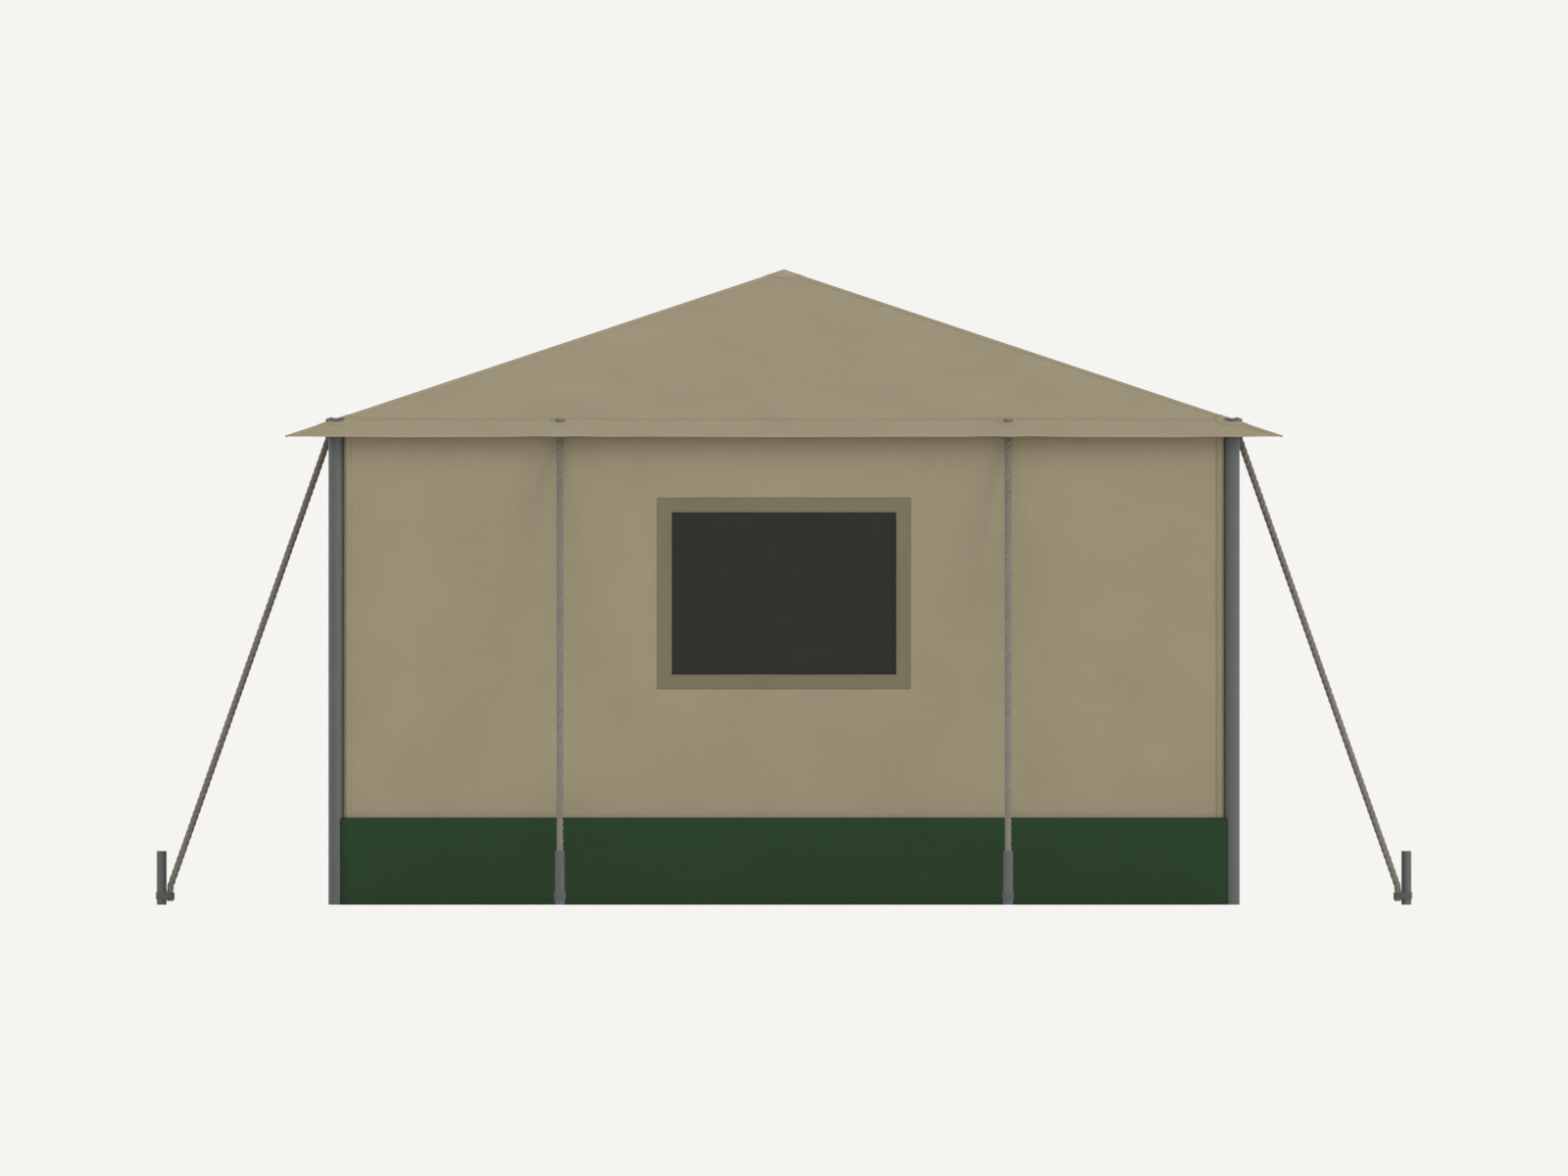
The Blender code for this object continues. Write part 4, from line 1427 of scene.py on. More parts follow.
@dataclass
class Walls:
    """The four walls, with their hems and seams."""

    thickness: float = 0.0016
    hem: float = 0.028
    seam: float = 0.014
    proud: float = 0.0008
    door_half: float = 0.420
    door_sill_z: float = 0.060
    door_head_z: float = 1.450
    foot_z: float = 0.0008  # the cloth hangs down to the ground
    corner_head_z: float = 1.600
    corner_lap: float = 0.018
    corner_gap: float = 0.0006  # from the post to the strip past it
    corner_thickness: float = 0.0010
    corner_behind: float = 0.0004  # from a wall's inner face to the strip
    corner_step: float = 0.05
    step: float = 0.025
    trim_step: float = 0.03
    trim_gap: float = 0.001  # from the wall's head and foot to its hems and seams
    hem_gap: float = 0.0005
    hem_inset: float = 0.004
    seam_inset: float = 0.003
    row_gap: float = 0.01  # from the wall's head and foot to its rows of stitches

    def build(self) -> None:
        """Makes each wall with what is sewn to it, and the strips at the corners."""
        for side in Side:
            self.wall(side)
        for number, corner in enumerate(CORNERS):
            self.corner(corner, Side(number))

    def corner(self, corner: str, side: Side) -> None:
        """Makes the strip that joins two walls, pulled straight past the inside of their post.

        Args:
            corner: the corner's name.
            side: the side whose turn takes the front left corner to this one.
        """
        behind = self.thickness + self.corner_behind
        bend = (PLAN.post_radius + self.corner_gap) * math.sqrt(2) - behind
        lap = PLAN.post_line - PLAN.wall_half + self.corner_lap
        plan = np.array([(lap, behind), (bend, behind), (behind, bend), (behind, lap)]) - PLAN.post_line
        run = np.append(0, np.cumsum(np.linalg.norm(np.diff(plan, axis=0), axis=1)))
        rows = lines([self.foot_z, self.corner_head_z], self.corner_step)
        spot, height = np.meshgrid(run, rows)
        across = [np.interp(spot, run, plan[:, axis]) for axis in (0, 1)]
        points = np.stack([*across, height], -1)
        shape = Shape()
        shape.grid(side.turn(points)[:, ::-1], np.stack([spot, height], -1)[:, ::-1])
        strip = shape.build(f"wall_corner_{corner}", WALL_CANVAS, sharp=30)
        thicken(strip, self.corner_thickness)
        put(strip, TENT, "wall_canvas")
        f"wall_{side.label}"

    def wall(self, side: Side) -> None:
        """Makes one wall.

        Args:
            side: the wall's side.
        """
        face = WallFace(side)
        half, foot, head = PLAN.wall_half, self.foot_z, PLAN.wall_head_z
        if side == Side.BACK:
            wide, low, high = self.door_half, self.door_sill_z, self.door_head_z
        else:
            wide, low = PLAN.border_half - BORDER_W, PLAN.border_low_z + BORDER_W
            high = PLAN.border_high_z - BORDER_W
        us = lines([-half, -wide, wide, half], self.step)
        vs = lines([foot, low, high, head], self.step)
        across, up = (us[1:] + us[:-1]) / 2, (vs[1:] + vs[:-1]) / 2
        level = np.abs(up - (low + high) / 2) < (high - low) / 2
        hole = (np.abs(across)[None] < wide) & level[:, None]
        shape = Shape()
        lay(shape, face, side, us, vs, hole=hole)
        wall = shape.build(f"wall_sheet_{side.label}", WALL_CANVAS)
        thicken(wall, self.thickness)
        put(wall, TENT, "wall_canvas", f"wall_{side.label}")
        extras = self.trims(side, face)
        if side == Side.BACK:
            extras += Door().wall_zip()
        f"eave_rail_{side.label}"

    def trims(self, side: Side, face: WallFace) -> list[Piece]:
        """Makes a wall's hems at the posts and its two felled seams, behind the guys.

        Args:
            side: the wall's side.
            face: its outer face.

        Returns:
            The pieces, with their stitches last.
        """
        half, foot, head = PLAN.wall_half, self.foot_z, PLAN.wall_head_z
        rows = lines([foot + self.trim_gap, head - self.trim_gap], self.trim_step)
        first, last = foot + self.row_gap, head - self.row_gap
        made, sewn = [], Stitching()
        for hand, end in zip((-1, 1), side.ends, strict=True):
            edge = np.array(sorted((hand * (half - self.hem_gap), hand * (half - self.hem))))
            middle = hand * GUY_X
            across = np.array([middle - self.seam / 2, middle + self.seam / 2])
            for kind, us in (("hem", edge), ("seam", across)):
                name = f"wall_{kind}_{side.label}_{end}"
                strip = band(name, WALL_CANVAS, face, side, us, rows, self.proud)
                made.append(put(strip, TENT, "wall_canvas"))
            seam_rows = across + np.array([self.seam_inset, -self.seam_inset])
            for u in (hand * (half - self.hem + self.hem_inset), *seam_rows):
                sewn.row(face, side, (u, first), (u, last), self.proud)
        made.append(sewn.build(f"wall_stitching_{side.label}", TENT, "wall_canvas"))
        return made


# Windows


@dataclass
class Window:
    """A window: a border sewn on outside, an insect net inside, and a curtain that hangs under it."""

    side: Side
    lift: float = 0.0018  # from the wall's face to the border's
    edge: float = 0.001  # width of the border's turned edges
    edge_drop: float = 0.0006
    border_gap: float = 0.0004
    columns: int = 25
    inset: float = 0.006  # from the border's edges to its rows of stitches
    mitre_gap: float = 0.003
    net_thickness: float = 0.0004
    net_slack: float = 0.0002
    net_fade: float = 0.25
    net_step: float = 0.025
    curtain_thickness: float = 0.0013
    curtain_depth: float = 0.012
    curtain_step: float = 0.02
    squashed: float = 0.04  # share of its folds' depth that a turned curtain keeps
    seam_up: float = 0.002  # from the curtain's head to the line that it turns about
    seam_half: float = 0.008
    seam_gap: float = 0.0008
    seam_lift: float = 0.0014
    seam_thickness: float = 0.0013
    seam_step: float = 0.05

    @property
    def wall(self) -> str:
        """The node of the wall that it is in."""
        return f"wall_{self.side.label}"

    def build(self) -> None:
        """Makes the border, the net and the curtain."""
        self.border()
        self.net()
        self.curtain()

    def border(self) -> None:
        """Four strips of darker canvas with mitred corners and two rows of stitches."""
        face = WallFace(self.side)
        middle = (PLAN.border_low_z + PLAN.border_high_z) / 2
        tall = (PLAN.border_high_z - PLAN.border_low_z) / 2
        shape, sewn = Shape(), Stitching()
        wide = PLAN.border_half
        share = np.linspace(-1, 1, self.columns)
        offs = np.array([0.0, -self.edge, -BORDER_W + self.edge, -BORDER_W])[:, None]
        lifts = self.lift - self.edge_drop * np.array([1, 0, 0, 1])
        for turn in range(4):
            long, short = (wide, tall) if turn % 2 == 0 else (tall, wide)
            along = (long + offs) * share[None]
            away = -(short + offs) * np.ones_like(share)[None]
            u, v = self.quarter(along, away, turn)
            points = face(u, v + middle) + lifts[:, None, None] * np.array([0.0, -1.0, 0.0])
            shape.grid(self.side.turn(points), np.stack([along + turn, away], -1))
            for off in (-self.inset, -BORDER_W + self.inset):
                reach = long + off - self.mitre_gap
                ends = [self.quarter(hand * reach, -(short + off), turn) for hand in (-1, 1)]
                start, end = ((a, b + middle) for a, b in ends)
                sewn.row(face, self.side, start, end, self.lift)
        made = shape.build(f"window_frame_{self.side.label}", BORDER_CANVAS, weld=0.0001, sharp=30)
        thicken(made, self.lift - self.border_gap)
        put(made, TENT, "border_canvas", f"window_border_{self.side.label}")
        rows = sewn.build(f"window_stitching_{self.side.label}", TENT, "border_canvas", BORDER_THREAD)
        self.wall

    @staticmethod
    def quarter(along: Array, away: Array, turn: int) -> tuple[Array, Array]:
        """Turns places at the window's lower edge to one of its four edges.

        Args:
            along: places along the edge.
            away: places across it.
            turn: how many quarter turns to make.

        Returns:
            The places across the wall and up it.
        """
        for _ in range(turn):
            along, away = -away, along
        return along, away

    def net(self) -> None:
        """The net, stretched over the opening from inside."""
        half, low, high = PLAN.mesh_half, PLAN.mesh_low_z, PLAN.mesh_high_z
        fade = self.net_fade

        def face(u: Array, v: Array) -> Array:
            """The net's outer face, drawn in a little at its middle."""
            slack = eased((half - np.abs(u)) / half) * eased((high - v) / fade) * eased((v - low) / fade)
            return np.stack([u, self.net_slack * slack - PLAN.mesh_line, v], -1)

        shape = Shape()
        us, vs = lines([-half, half], self.net_step), lines([low, high], self.net_step)
        lay(shape, face, self.side, us, vs)
        net = shape.build(f"window_net_{self.side.label}", INSECT_NET)
        thicken(net, self.net_thickness)
        put(net, TENT, "insect_mesh", f"window_mesh_{self.side.label}")
        self.wall

    def curtain(self) -> None:
        """The curtain, hanging in loose folds from its seam, and the tape of that seam."""
        half, low, high = PLAN.curtain_half, PLAN.curtain_low_z, PLAN.curtain_high_z
        line, seed = PLAN.curtain_line, 5.0 + self.side.value
        seam_z = high + self.seam_up

        def face(u: Array, v: Array) -> Array:
            """The curtain's middle, whose folds deepen towards its foot."""
            deep = eased((high - v) / (high - low)) * (0.55 + 0.45 * ripple(1.6 * u, v, seed))
            return np.stack([u, self.curtain_depth * deep - line, v], -1)

        shape = Shape()
        us, vs = lines([-half, half], self.curtain_step), lines([low, high], self.curtain_step)
        lay(shape, face, self.side, us, vs)
        curtain = shape.build(f"window_curtain_sheet_{self.side.label}", WALL_CANVAS)
        thicken(curtain, self.curtain_thickness)
        # The thickness lies half to each side of the sheet.
        curtain.modifiers["cloth"].offset = 0.0
        name = f"window_curtain_{self.side.label}"
        put(curtain, f"curtain_{self.side.label}", "wall_canvas", name)
        inward = self.side.turn(np.array([0.0, 1.0, 0.0]))
        anchor = self.side.turn(np.array([0.0, -line, seam_z]))
        joint = f"curtain_{self.side.label}_turn"
        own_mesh(curtain)
        seam, size = self.curtain_seam(seam_z), (2 * half, high - low)
        self.wall

    def curtain_seam(self, seam_z: float) -> Piece:
        """Makes the tape that sews the curtain to the wall.

        Args:
            seam_z: the height of the line that the curtain turns about.

        Returns:
            The piece.
        """
        half = PLAN.curtain_half

        def face(u: Array, v: Array) -> Array:
            """The plane between the wall and the curtain, facing out."""
            return np.stack([u, np.full_like(u, -PLAN.curtain_line - self.seam_gap), v], -1)

        rows = np.array([seam_z - self.seam_half, seam_z + self.seam_half])
        tape = Shape()
        lay(tape, face, self.side, lines([-half, half], self.seam_step), rows, self.seam_lift)
        seam = tape.build(f"window_curtain_seam_{self.side.label}", WALL_CANVAS)
        thicken(seam, self.seam_thickness)
        return put(seam, TENT, "wall_canvas")


# Skirt


@dataclass(frozen=True)
class SkirtFace:
    """A skirt's outer face; u runs to the right, and v is measured up the cloth from its foot."""

    seed: float
    roll: float = 0.0108  # radius of the rolled top, over its bolt rope
    foot_z: float = 0.001
    slack: float = 0.0022
    slack_fade: float = 0.20
    post_gap: float = 0.0012
    shaped: float = 0.03  # length of each end that follows the round of its post

    @property
    def upright(self) -> float:
        """The cloth's length from its foot to its rolled top."""
        return PLAN.skirt_top_z - self.roll - self.foot_z

    @property
    def length(self) -> float:
        """The cloth's length from its foot to its seam on the wall."""
        return self.upright + math.pi * self.roll

    def __call__(self, u: Array, v: Array) -> Array:
        """Finds places on the skirt.

        Args:
            u: places along it.
            v: places up it.

        Returns:
            The same places in the frame, in the front side's place.
        """
        turn = np.clip((v - self.upright) / self.roll, 0, math.pi)
        y = -PLAN.skirt_line + self.roll * (1 - np.cos(turn))
        z = self.foot_z + np.minimum(v, self.upright) + self.roll * np.sin(turn)
        loose = eased((self.upright - v) / self.slack_fade)
        y = y + self.slack * loose * (0.5 + 0.5 * ripple(1.3 * u, v, self.seed))
        # The ends are cut to clear the round of the post.
        reach = PLAN.post_radius + self.post_gap
        clear = PLAN.post_line - np.sqrt(np.maximum(reach**2 - (y + PLAN.post_line) ** 2, 0))
        limit = np.minimum(clear, PLAN.skirt_half)
        cut = np.sign(u) * (limit + np.abs(u) - PLAN.skirt_half)
        return np.stack([np.where(np.abs(u) > PLAN.skirt_half - self.shaped, cut, u), y, z], -1)


@dataclass
class Skirt:
    """A band of coated cloth along the foot of a wall, hung from a rolled top."""

    side: Side
    start: float
    end: float
    node: str
    thickness: float = 0.0011
    step: float = 0.025
    rise: float = 0.02
    roll_points: int = 11
    closed: float = 1.6  # how far round its roll a free end is closed, in radians
    hem: float = 0.018
    hem_foot: float = 0.001
    hem_proud: float = 0.0006
    hem_step: float = 0.03
    hem_row: float = 0.015
    top_inset: float = 0.004
    end_inset: float = 0.005
    end_row: tuple[float, float] = (0.022, 0.008)  # how far an end's row is from foot and roll

    @property
    def free_ends(self) -> list[tuple[float, int]]:
        """The ends that meet no post, each with -1 for the band's first end or 1 for its last."""
        both = ((self.start, -1), (self.end, 1))
        return [(end, hand) for end, hand in both if abs(end) < PLAN.skirt_half]

    def build(self) -> None:
        face = SkirtFace(1.0 + 0.9 * self.side.value)
        stops = [self.start, *self.bends(face), self.end]
        rolled = face.upright + face.roll * np.linspace(0, math.pi, self.roll_points)[1:]
        vs = np.append(lines([0.0, self.hem, face.upright], self.rise), rolled)
        shape = Shape()
        lay(shape, face, self.side, lines(stops, self.step), vs)
        for end, hand in self.free_ends:
            self.boxed_end(shape, face, end, hand, vs)
        sheet = shape.build(f"{self.node}_sheet", SKIRT_CLOTH, weld=0.0001, sharp=50)
        thicken(sheet, self.thickness)
        put(sheet, TENT, "skirt_cloth", self.node)
        us, rows = lines(stops, self.hem_step), np.array([self.hem_foot, self.hem])
        hem = band(f"{self.node}_hem", SKIRT_CLOTH, face, self.side, us, rows, self.hem_proud)
        put(hem, TENT, "skirt_cloth")
        f"wall_{self.side.label}"
        self.stitches(face)

    def stitches(self, face: SkirtFace) -> Piece:
        """Makes the rows over the foot hem, under the rolled top and at the free ends.

        Args:
            face: the band's outer face.

        Returns:
            The piece.
        """
        sewn = Stitching()
        first, last = self.start + self.end_inset, self.end - self.end_inset
        for v, lift in ((self.hem_row, self.hem_proud), (face.upright - self.top_inset, 0.0)):
            sewn.row(face, self.side, (first, v), (last, v), lift)
        for end, hand in self.free_ends:
            row = end - hand * self.end_inset
            sewn.row(face, self.side, (row, self.end_row[0]), (row, face.upright - self.end_row[1]))
        return sewn.build(f"{self.node}_stitching", TENT, "skirt_cloth", GREEN_THREAD)

    def boxed_end(self, shape: Shape, face: SkirtFace, end: float, hand: int, vs: Array) -> None:
        """Adds the return that joins a free end to the wall and closes its rolled top.

        Args:
            shape: the band, which the return is part of.
            face: the band's outer face.
            end: the end's place along the band.
            hand: -1 for the band's first end, and 1 for its last.
            vs: the band's rows.
        """
        rows = vs[vs < face.upright + face.roll * self.closed]
        front = face(np.full_like(rows, end), rows)
        back = front.copy()
        turn = np.clip((rows - face.upright) / face.roll, 0, math.pi / 2)
        back[:, 1] = -PLAN.skirt_line + face.roll * (1 + np.cos(turn))
        points = np.stack([front, back][::hand], 1)
        depth = np.broadcast_to([0.0, 2 * face.roll], (len(rows), 2))
        shape.grid(self.side.turn(points), np.stack([depth, np.stack([rows, rows], 1)], -1))

    def bends(self, face: SkirtFace) -> list[float]:
        """Places where the band's ends begin to follow the posts."""
        near = PLAN.skirt_half - face.shaped
        return [x for x in (-near, near) if self.start < x < self.end]


# Door


@dataclass(frozen=True)
class FlapFace:
    """The door flap's outer face, drawn as the front side's; u is minus the frame's X."""

    bulge: float = 0.0016
    fade: float = 0.25
    half: float = 0.448

    def __call__(self, u: Array, v: Array) -> Array:
        """Finds places on the flap.

        Args:
            u: places across it.
            v: places up it.

        Returns:
            The same places in the frame, in the front side's place.
        """
        inside = np.minimum(self.half - np.abs(u), np.minimum(v - PLAN.flap_low_z, PLAN.flap_high_z - v))
        swell = self.bulge * eased(inside / self.fade) * (0.5 + 0.5 * ripple(u, v, 9.0))
        return np.stack([u, -PLAN.flap_line - swell, v], -1)


@dataclass
class Door:
    """The door in the back wall: a flap sewn along one side and zipped along the other."""

    thickness: float = 0.0016
    proud: float = 0.0008
    step: float = 0.025
    trim_step: float = 0.03
    strip_step: float = 0.05
    hem: float = 0.026
    zip_room: float = 0.0225  # from the flap's free edge to its hems
    inset: float = 0.004
    side_row_low: float = 0.28  # from the flap's foot to the side hem's stitches, over the kick band
    kick_lift: float = 0.0010
    kick_gap: float = 0.001
    tape_gap: float = 0.0030  # from the flap's free edge to a tape
    tape_half: float = 0.0195  # and to the tape's far edge
    welt: tuple[float, float] = (0.0240, 0.0036)  # from the flap's free edge to the welt's two edges
    tooth_pitch: float = 0.0032
    tooth_width: float = 0.0034
    tooth_depth: float = 0.0014
    tooth_share: float = 0.40  # a tooth's height over the pitch
    tooth_tip: float = 0.8  # a tooth's height where it is held by nothing, over its height at the tape
    tooth_line: float = 0.0012  # from the flap's free edge to a row's middle
    tooth_lift: float = 0.0001
    bare_end: float = 0.004  # tape without teeth at the zip's head and foot
    axis_off: float = 0.002
    seam_proud: float = 0.0010
    seam_flat: tuple[float, ...] = (-0.018, -0.010, -0.004, -0.002, 0.0, 0.002, 0.004)
    seam_slant: tuple[float, ...] = (0.008, 0.012, 0.016)
    seam_far: float = 0.026
    seam_fall: tuple[float, ...] = (0.0015, 0.0042, 0.0060)  # from the flap's face down to the wall's
    seam_wall_y: float = -1.5010
    seam_bend: float = 0.005  # half the width that bends
    seam_middle_z: float = 0.75
    seam_thickness: float = 0.0007

    def build(self) -> None:
        """Makes the flap and its zip."""
        face = FlapFace()
        left, right = -PLAN.flap_free_x, -PLAN.flap_hinge_x
        us = lines([left, right], self.step)
        vs = lines([PLAN.flap_low_z, PLAN.flap_high_z], self.step)
        shape = Shape()
        lay(shape, face, Side.BACK, us, vs)
        flap = shape.build("door_flap_sheet", WALL_CANVAS)
        thicken(flap, self.thickness)
        put(flap, "door", "wall_canvas", "door_flap")
        hems, kick_band = self.hems(face, left, right), self.kick_band(face, left, right)
        self.hinge_seam()
        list(self.flap_zip(face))
        ZipSlider().build()

    def hems(self, face: FlapFace, left: float, right: float) -> list[Piece]:
        """Makes hems along the flap's head, foot and sewn side, with their stitches.

        Args:
            face: the flap's outer face.
            left: the place of its free edge.
            right: the place of its sewn edge.

        Returns:
            The pieces.
        """
        low, high = PLAN.flap_low_z, PLAN.flap_high_z
        inner = left + self.zip_room
        across = lines([inner, right], self.trim_step)
        up = lines([low + self.hem, high - self.hem], self.trim_step)
        strips = (
            ("head", across, np.array([high - self.hem, high])),
            ("foot", across, np.array([low, low + self.hem])),
            ("side", np.array([right - self.hem, right]), up),
        )
        made = [
            band(f"door_hem_{name}", WALL_CANVAS, face, Side.BACK, us, vs, self.proud)
            for name, us, vs in strips
        ]
        sewn = Stitching()
        edge, first = self.hem - self.inset, low + self.side_row_low
        sewn.row(face, Side.BACK, (inner, high - edge), (right - self.inset, high - edge), self.proud)
        sewn.row(face, Side.BACK, (right - edge, first), (right - edge, high - edge), self.proud)
        made.append(sewn.shape.build("door_stitching", THREAD))
        for piece in made:
            put(piece, "door", "wall_canvas")
        return made

    def kick_band(self, face: FlapFace, left: float, right: float) -> Piece:
        """Makes a band of the skirt's cloth across the flap's foot, level with the skirts.

        Args:
            face: the flap's outer face.
            left: the place of its free edge.
            right: the place of its sewn edge.

        Returns:
            The piece.
        """
        us = lines([left + self.zip_room, right - self.kick_gap], self.trim_step)
        vs = lines([PLAN.flap_low_z + self.kick_gap, PLAN.skirt_top_z], self.trim_step)
        made = band("door_kick_band", SKIRT_CLOTH, face, Side.BACK, us, vs, self.proud + self.kick_lift)
        return put(made, "door", "skirt_cloth")

    def hinge_seam(self) -> Piece:
        """Makes the strip that sews the flap to the wall, flat under the flap and slanting down to the wall.

        Returns:
            The piece.
        """
        axis_x = -PLAN.flap_hinge_x + self.axis_off
        line = -PLAN.flap_line - self.seam_proud
        xs = np.array([*self.seam_flat, *self.seam_slant, self.seam_far])
        flat = [line] * len(self.seam_flat)
        ys = np.array([*flat, *(line + fall for fall in self.seam_fall), self.seam_wall_y])
        zs = lines([PLAN.flap_low_z, PLAN.flap_high_z], self.strip_step)
        x, z = np.meshgrid(xs, zs)
        points = np.stack([x + axis_x, np.broadcast_to(ys, x.shape), z], -1)
        shape = Shape()
        shape.grid(Side.BACK.turn(points), np.stack([x, z], -1))
        strip = shape.build("door_seam_strip", WALL_CANVAS)
        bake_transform(strip)
        thicken(strip, self.seam_thickness)
        LOG.info("%s bends from %s to door, %d points", strip.name, TENT, len(strip.data.vertices))
        return strip

    def flap_zip(self, face: FlapFace) -> list[Piece]:
        """Makes the zip's half on the flap's edge: its tape and its teeth.

        Args:
            face: the flap's outer face.

        Returns:
            The pieces.
        """
        edge = -PLAN.flap_free_x
        rows = lines([PLAN.zip_low_z, PLAN.zip_high_z], self.strip_step)
        across = np.array([edge + self.tape_gap, edge + self.tape_half])
        tape = band("zip_tape_flap", ZIP_TAPE, face, Side.BACK, across, rows, self.proud)
        put(tape, "door", "zip", "door_zip")
        teeth = self.teeth(edge + self.tooth_line, 0.0, 1).build("zip_teeth_flap", ZIP_TEETH)
        return [tape, put(teeth, "door", "zip")]

    def wall_zip(self) -> list[Piece]:
        """Makes the zip's half on the wall: a welt as high as the flap, with tape and teeth on it.

        Returns:
            The pieces.
        """
        edge = -PLAN.flap_free_x
        rows = lines([PLAN.zip_low_z, PLAN.zip_high_z], self.strip_step)
        wall = WallFace(Side.BACK)
        top = PLAN.flap_line - PLAN.post_line
        across = np.array([edge - off for off in self.welt])
        welt = band("zip_welt", WALL_CANVAS, wall, Side.BACK, across, rows, top)
        across = np.array([edge - self.tape_half, edge - self.tape_gap])
        tape = band("zip_tape_wall", ZIP_TAPE, wall, Side.BACK, across, rows, top + self.proud)
        tape.modifiers["cloth"].thickness = self.proud
        teeth = self.teeth(edge - self.tooth_line, self.tooth_pitch / 2, -1)
        made = teeth.build("zip_teeth_wall", ZIP_TEETH)
        return [put(welt, TENT, "wall_canvas"), put(tape, TENT, "zip"), put(made, TENT, "zip")]

    def teeth(self, x: float, start: float, hand: int) -> Shape:
        """A row of teeth.

        Args:
            x: the row's middle.
            start: how far over the zip's foot the first tooth lies.
            hand: 1 where the teeth are held at their +X end, and -1 at the other.

        Returns:
            The teeth as a shape.
        """
        tall = self.tooth_pitch * self.tooth_share
        box = np.array([(a, b, c) for a in (-1, 1) for b in (-1, 1) for c in (-1, 1)], float)
        box *= (self.tooth_width / 2, self.tooth_depth / 2, tall / 2)
        box[:, 2] *= np.where(box[:, 0] * hand < 0, self.tooth_tip, 1.0)
        sides = [(0, 1, 3, 2), (4, 6, 7, 5), (0, 4, 5, 1), (2, 3, 7, 6), (0, 2, 6, 4), (1, 5, 7, 3)]
        first, last = PLAN.zip_low_z + self.bare_end + start, PLAN.zip_high_z - self.bare_end
        z = np.arange(first, last, self.tooth_pitch)
        line = -PLAN.flap_line - self.proud - self.tooth_lift
        middles = np.stack([np.full_like(z, x), np.full_like(z, line), z], -1)
        points = Side.BACK.turn((middles[:, None] + box[None]).reshape(-1, 3))
        faces = (np.array(sides)[None] + np.arange(len(z))[:, None, None] * len(box)).reshape(-1, 4)
        shape = Shape()
        shape.add(points, points[:, [0, 2]], faces)
        return shape


@dataclass
class ZipSlider:
    """The zip's slider: a shield-shaped body, a bridge over it, and an open pull."""

    height: float = 0.022
    sides: int = 32
    gap: float = 0.0002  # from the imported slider's back to this one's
    taper: float = 0.14  # how much the body narrows from its head to its middle, and on to its foot
    steps: tuple[float, ...] = (0.0, 0.0004, 0.0020, 0.0026)  # from the back to each ring of the body
    sizes: tuple[float, ...] = (0.92, 1.0, 1.0, 0.86)  # of those rings
    bridge_points: int = 13
    bridge_sides: int = 12
    bridge_half: float = 0.0078
    bridge_radius: float = 0.0011
    bridge_foot: float = 0.0022  # from the back to the middle of the bridge's ends
    bridge_room: float = 0.0036  # what the bridge's rise leaves of the slider's depth
    pull_head: float = 0.0030  # how far the pull reaches over the body's middle
    pull_base: float = 0.0062
    pull_drop: float = 0.0022
    pull_neck: float = 0.66  # the pull's width at its head, over its width at its foot
    pull_rims: tuple[float, float] = (0.0040, 0.0022)  # half the pull's width, and half its hole's
    pull_depth: float = 0.0015

    def build(self) -> None:
        """Makes the body, the bridge and the pull as one piece."""
        low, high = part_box("zip_slider")
        middle = -(low.x + high.x) / 2
        back, front = low.y + self.gap, high.y
        top = high.z
        body_low = top - self.height
        body_middle = (top + body_low) / 2
        shape = Shape()
        angle = circle(self.sides)
        across, up = np.cos(angle), np.sin(angle)
        soft = (np.abs(across) ** 4 + np.abs(up) ** 4) ** -0.25
        # The shield narrows to its foot, where the closed teeth come out.
        narrow = 1 - self.taper + self.taper * up * soft
        wide, tall = (high.x - low.x) / 2, self.height / 2
        shield = np.stack([across * soft * narrow * wide, up * soft * tall], -1)
        depths = [back + step for step in self.steps]
        rings = zip((0.0, *self.sizes, 0.0), (depths[0], *depths, depths[-1]), strict=True)
        self.loft(shape, middle, body_middle, [(shield, size, depth) for size, depth in rings])
        turn = np.linspace(0, math.pi, self.bridge_points)
        rise = front - back - self.bridge_room
        out = -(back + self.bridge_foot + rise * np.sin(turn))
        arch = np.stack([np.full_like(turn, middle), out, body_middle + self.bridge_half * np.cos(turn)], -1)
        outward = Side.BACK.turn(np.tile([1.0, 0.0, 0.0], (self.bridge_points, 1)))
        radii = np.full_like(turn, self.bridge_radius)
        tubular(shape, Side.BACK.turn(arch), outward, radii, radii * 0, np.ones(self.bridge_sides))
        length = body_middle + self.pull_head - low.z
        stretch = np.where(up > 0, length - self.pull_base, 0.0)
        width = np.where(up > 0, self.pull_neck, 1.0)
        outer, inner = (
            np.stack([across * rim * width, up * rim + stretch - self.pull_drop], -1)
            for rim in self.pull_rims
        )
        near = front - self.pull_depth
        around = ((outer, near), (outer, front), (inner, front), (inner, near), (outer, near))
        base_z = low.z + self.pull_base
        self.loft(shape, middle, base_z, [(outline, 1.0, depth) for outline, depth in around])
        put(shape.build("zip_slider_cast", BRASS, weld=0.00002, sharp=50), "slider", "brass", "zip_slider")

    @staticmethod
    def loft(shape: Shape, x: float, z: float, rings: list[tuple[Array, float, float]]) -> None:
        """Adds a form by its outlines at several depths.

        Args:
            shape: what it is added to.
            x: its middle across the wall.
            z: its middle's height.
            rings: each outline's points round the middle, its size, and its distance from the
                peak's axis.
        """
        rows = []
        for outline, size, depth in rings:
            rows.append([(x + a * size, -depth, z + b * size) for a, b in outline])
        points = np.array(rows)
        shape.grid(Side.BACK.turn(points), points[..., [0, 2]], ring=True)


# Floor cloth, and the pieces that stay as packed


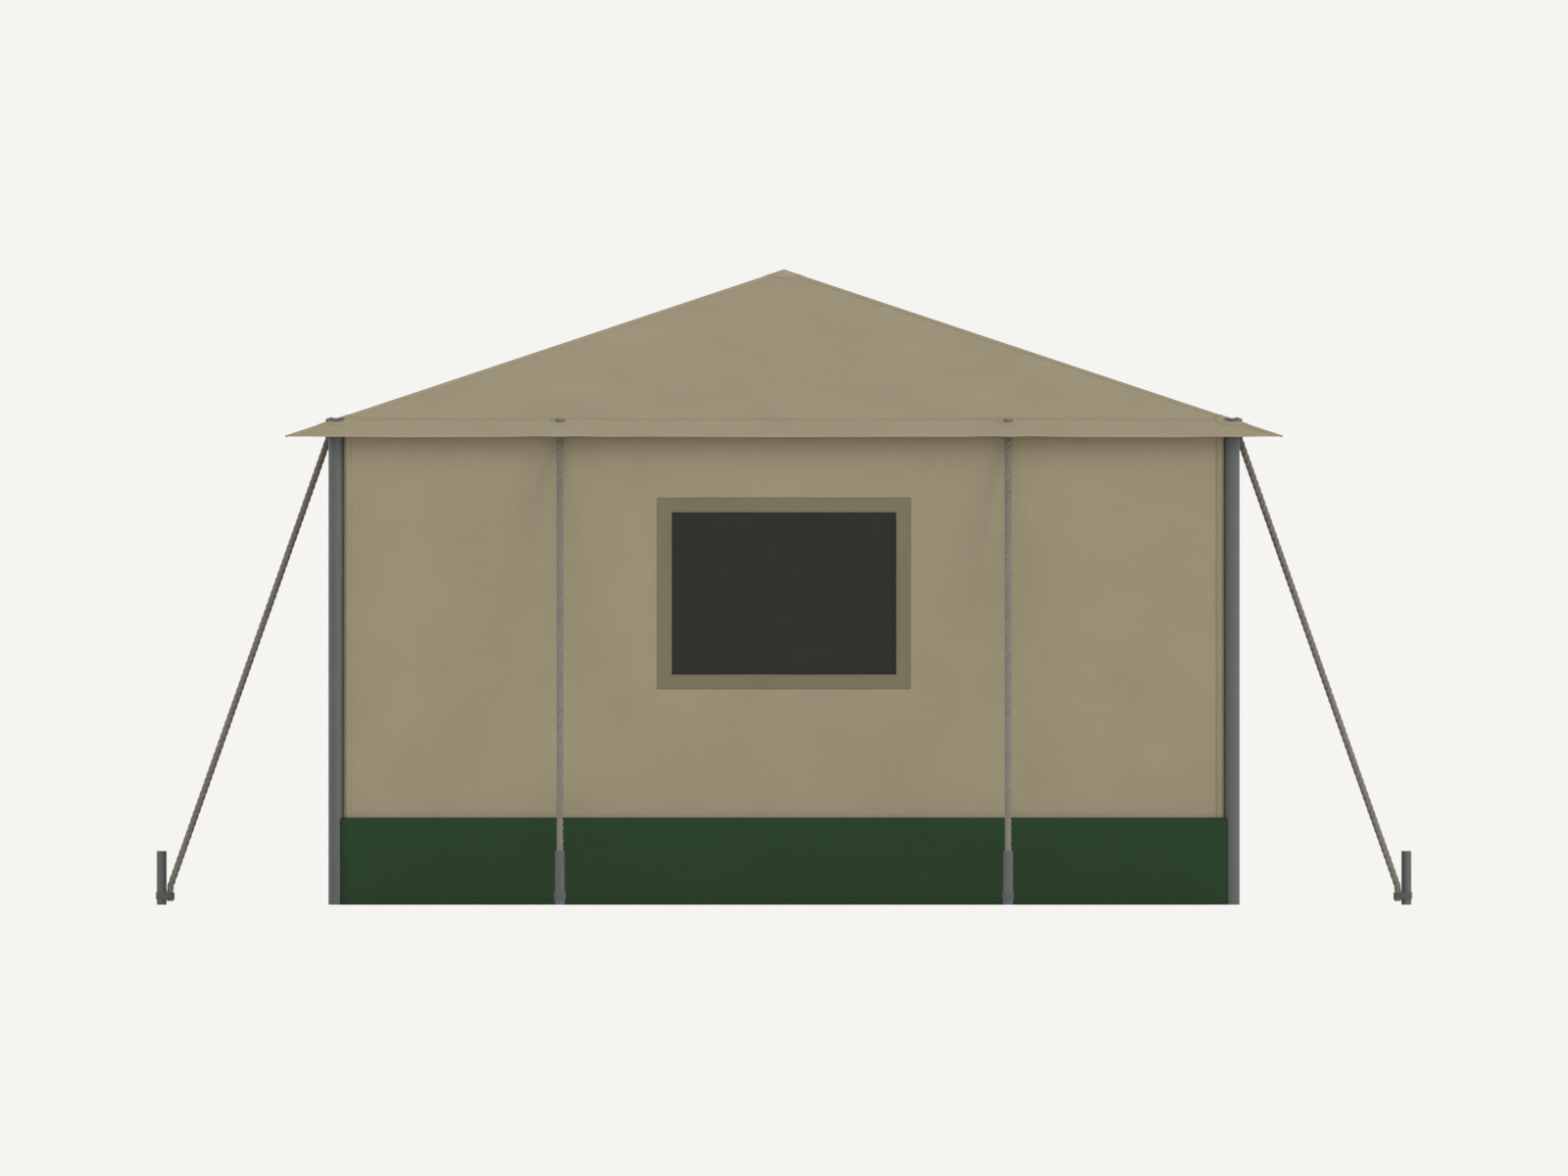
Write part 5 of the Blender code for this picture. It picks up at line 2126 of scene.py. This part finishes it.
@dataclass
class GroundSheet:
    """The groundsheet, with a hem, and with corners cut off slantwise to clear the posts."""

    thickness: float = 0.0012
    corner: float = 0.0315  # cut away, along each edge, to just clear the strips past the posts
    hem: float = 0.030
    hem_proud: float = 0.0004
    hem_row: float = 0.005
    reach: float = 0.0020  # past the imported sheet's edge, almost to the walls
    top_z: float = 0.0014
    uneven: float = 0.0004
    step: float = 0.05
    hem_step: float = 0.06

    def build(self) -> None:
        half = PLAN.floor_half + self.reach

        def face(u: Array, v: Array) -> Array:
            """The sheet's top, hardly off the flat, its corners cut off slantwise."""
            past = np.maximum(np.abs(u) + np.abs(v) - 2 * half + self.corner, 0) / 2
            height = self.top_z + self.uneven * ripple(2 * u, 2 * v, 4.0)
            return np.stack([u - np.sign(u) * past, v - np.sign(v) * past, height], -1)

        stops = lines([-half, -half + self.corner, half - self.corner, half], self.step)
        u, v = np.meshgrid(stops, stops)
        shape = Shape()
        shape.grid(face(u, v), np.stack([u, v], -1))
        sheet = shape.build("groundsheet_cloth", GROUND_CLOTH)
        thicken(sheet, self.thickness)
        put(sheet, TENT, "floor_cloth", "groundsheet")
        sewn, trims = Stitching(), []
        inner, row = half - self.corner, self.hem - half - self.hem_row
        us, vs = lines([-inner, inner], self.hem_step), np.array([-half, -half + self.hem])
        for side in Side:
            name = f"groundsheet_hem_{side.label}"
            strip = band(name, GROUND_CLOTH, face, side, us, vs, self.hem_proud)
            trims.append(put(strip, TENT, "floor_cloth"))
            sewn.row(face, side, (-inner, row), (inner, row), self.hem_proud)
        trims.append(sewn.build("groundsheet_stitching", TENT, "floor_cloth"))


def dress_nodes(weld: float = 0.00001, crease: float = 35.0) -> None:
    """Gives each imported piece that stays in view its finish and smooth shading.

    Args:
        weld: points this near each other become one.
        crease: the least angle between faces that stays sharp, in degrees.
    """
    finishes = dict.fromkeys(("post", "corner", "eave", "hip", "crown"), POWDER_STEEL)
    finishes |= {"foot": FOOT_PLASTIC, "stake": STAKE_STEEL}
    for name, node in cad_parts.items():
        finish = finishes.get(name.split("_")[0])
        if finish is None or node.hide_render:
            continue
        node.data.materials.clear()
        node.data.materials.append(finish.material())
        node.data.shade_smooth()
        node.modifiers.new("weld", "WELD").merge_threshold = weld
        node.modifiers.new("creases", "EDGE_SPLIT").split_angle = math.radians(crease)
        LOG.info("%s is finished as %s", name, finish.name)


def main() -> None:
    """Builds the studio, the ropes and the sheets in order."""
    logging.basicConfig(level=logging.INFO, format="%(name)s: %(message)s")
    Studio().build()
    for side in Side:
        for hand in (-1, 1):
            GuyRope(side, hand).build()
    RoofCanopy().build()
    Walls().build()
    for side in WINDOW_SIDES:
        Window(side).build()
        Skirt(side, -PLAN.skirt_half, PLAN.skirt_half, f"skirt_{side.label}").build()
    Skirt(Side.BACK, -PLAN.skirt_half, -PLAN.door_skirt_x, "skirt_back_right").build()
    Skirt(Side.BACK, PLAN.door_skirt_x, PLAN.skirt_half, "skirt_back_left").build()
    Door().build()
    GroundSheet().build()
    dress_nodes()


if __name__ == "__main__":
    main()
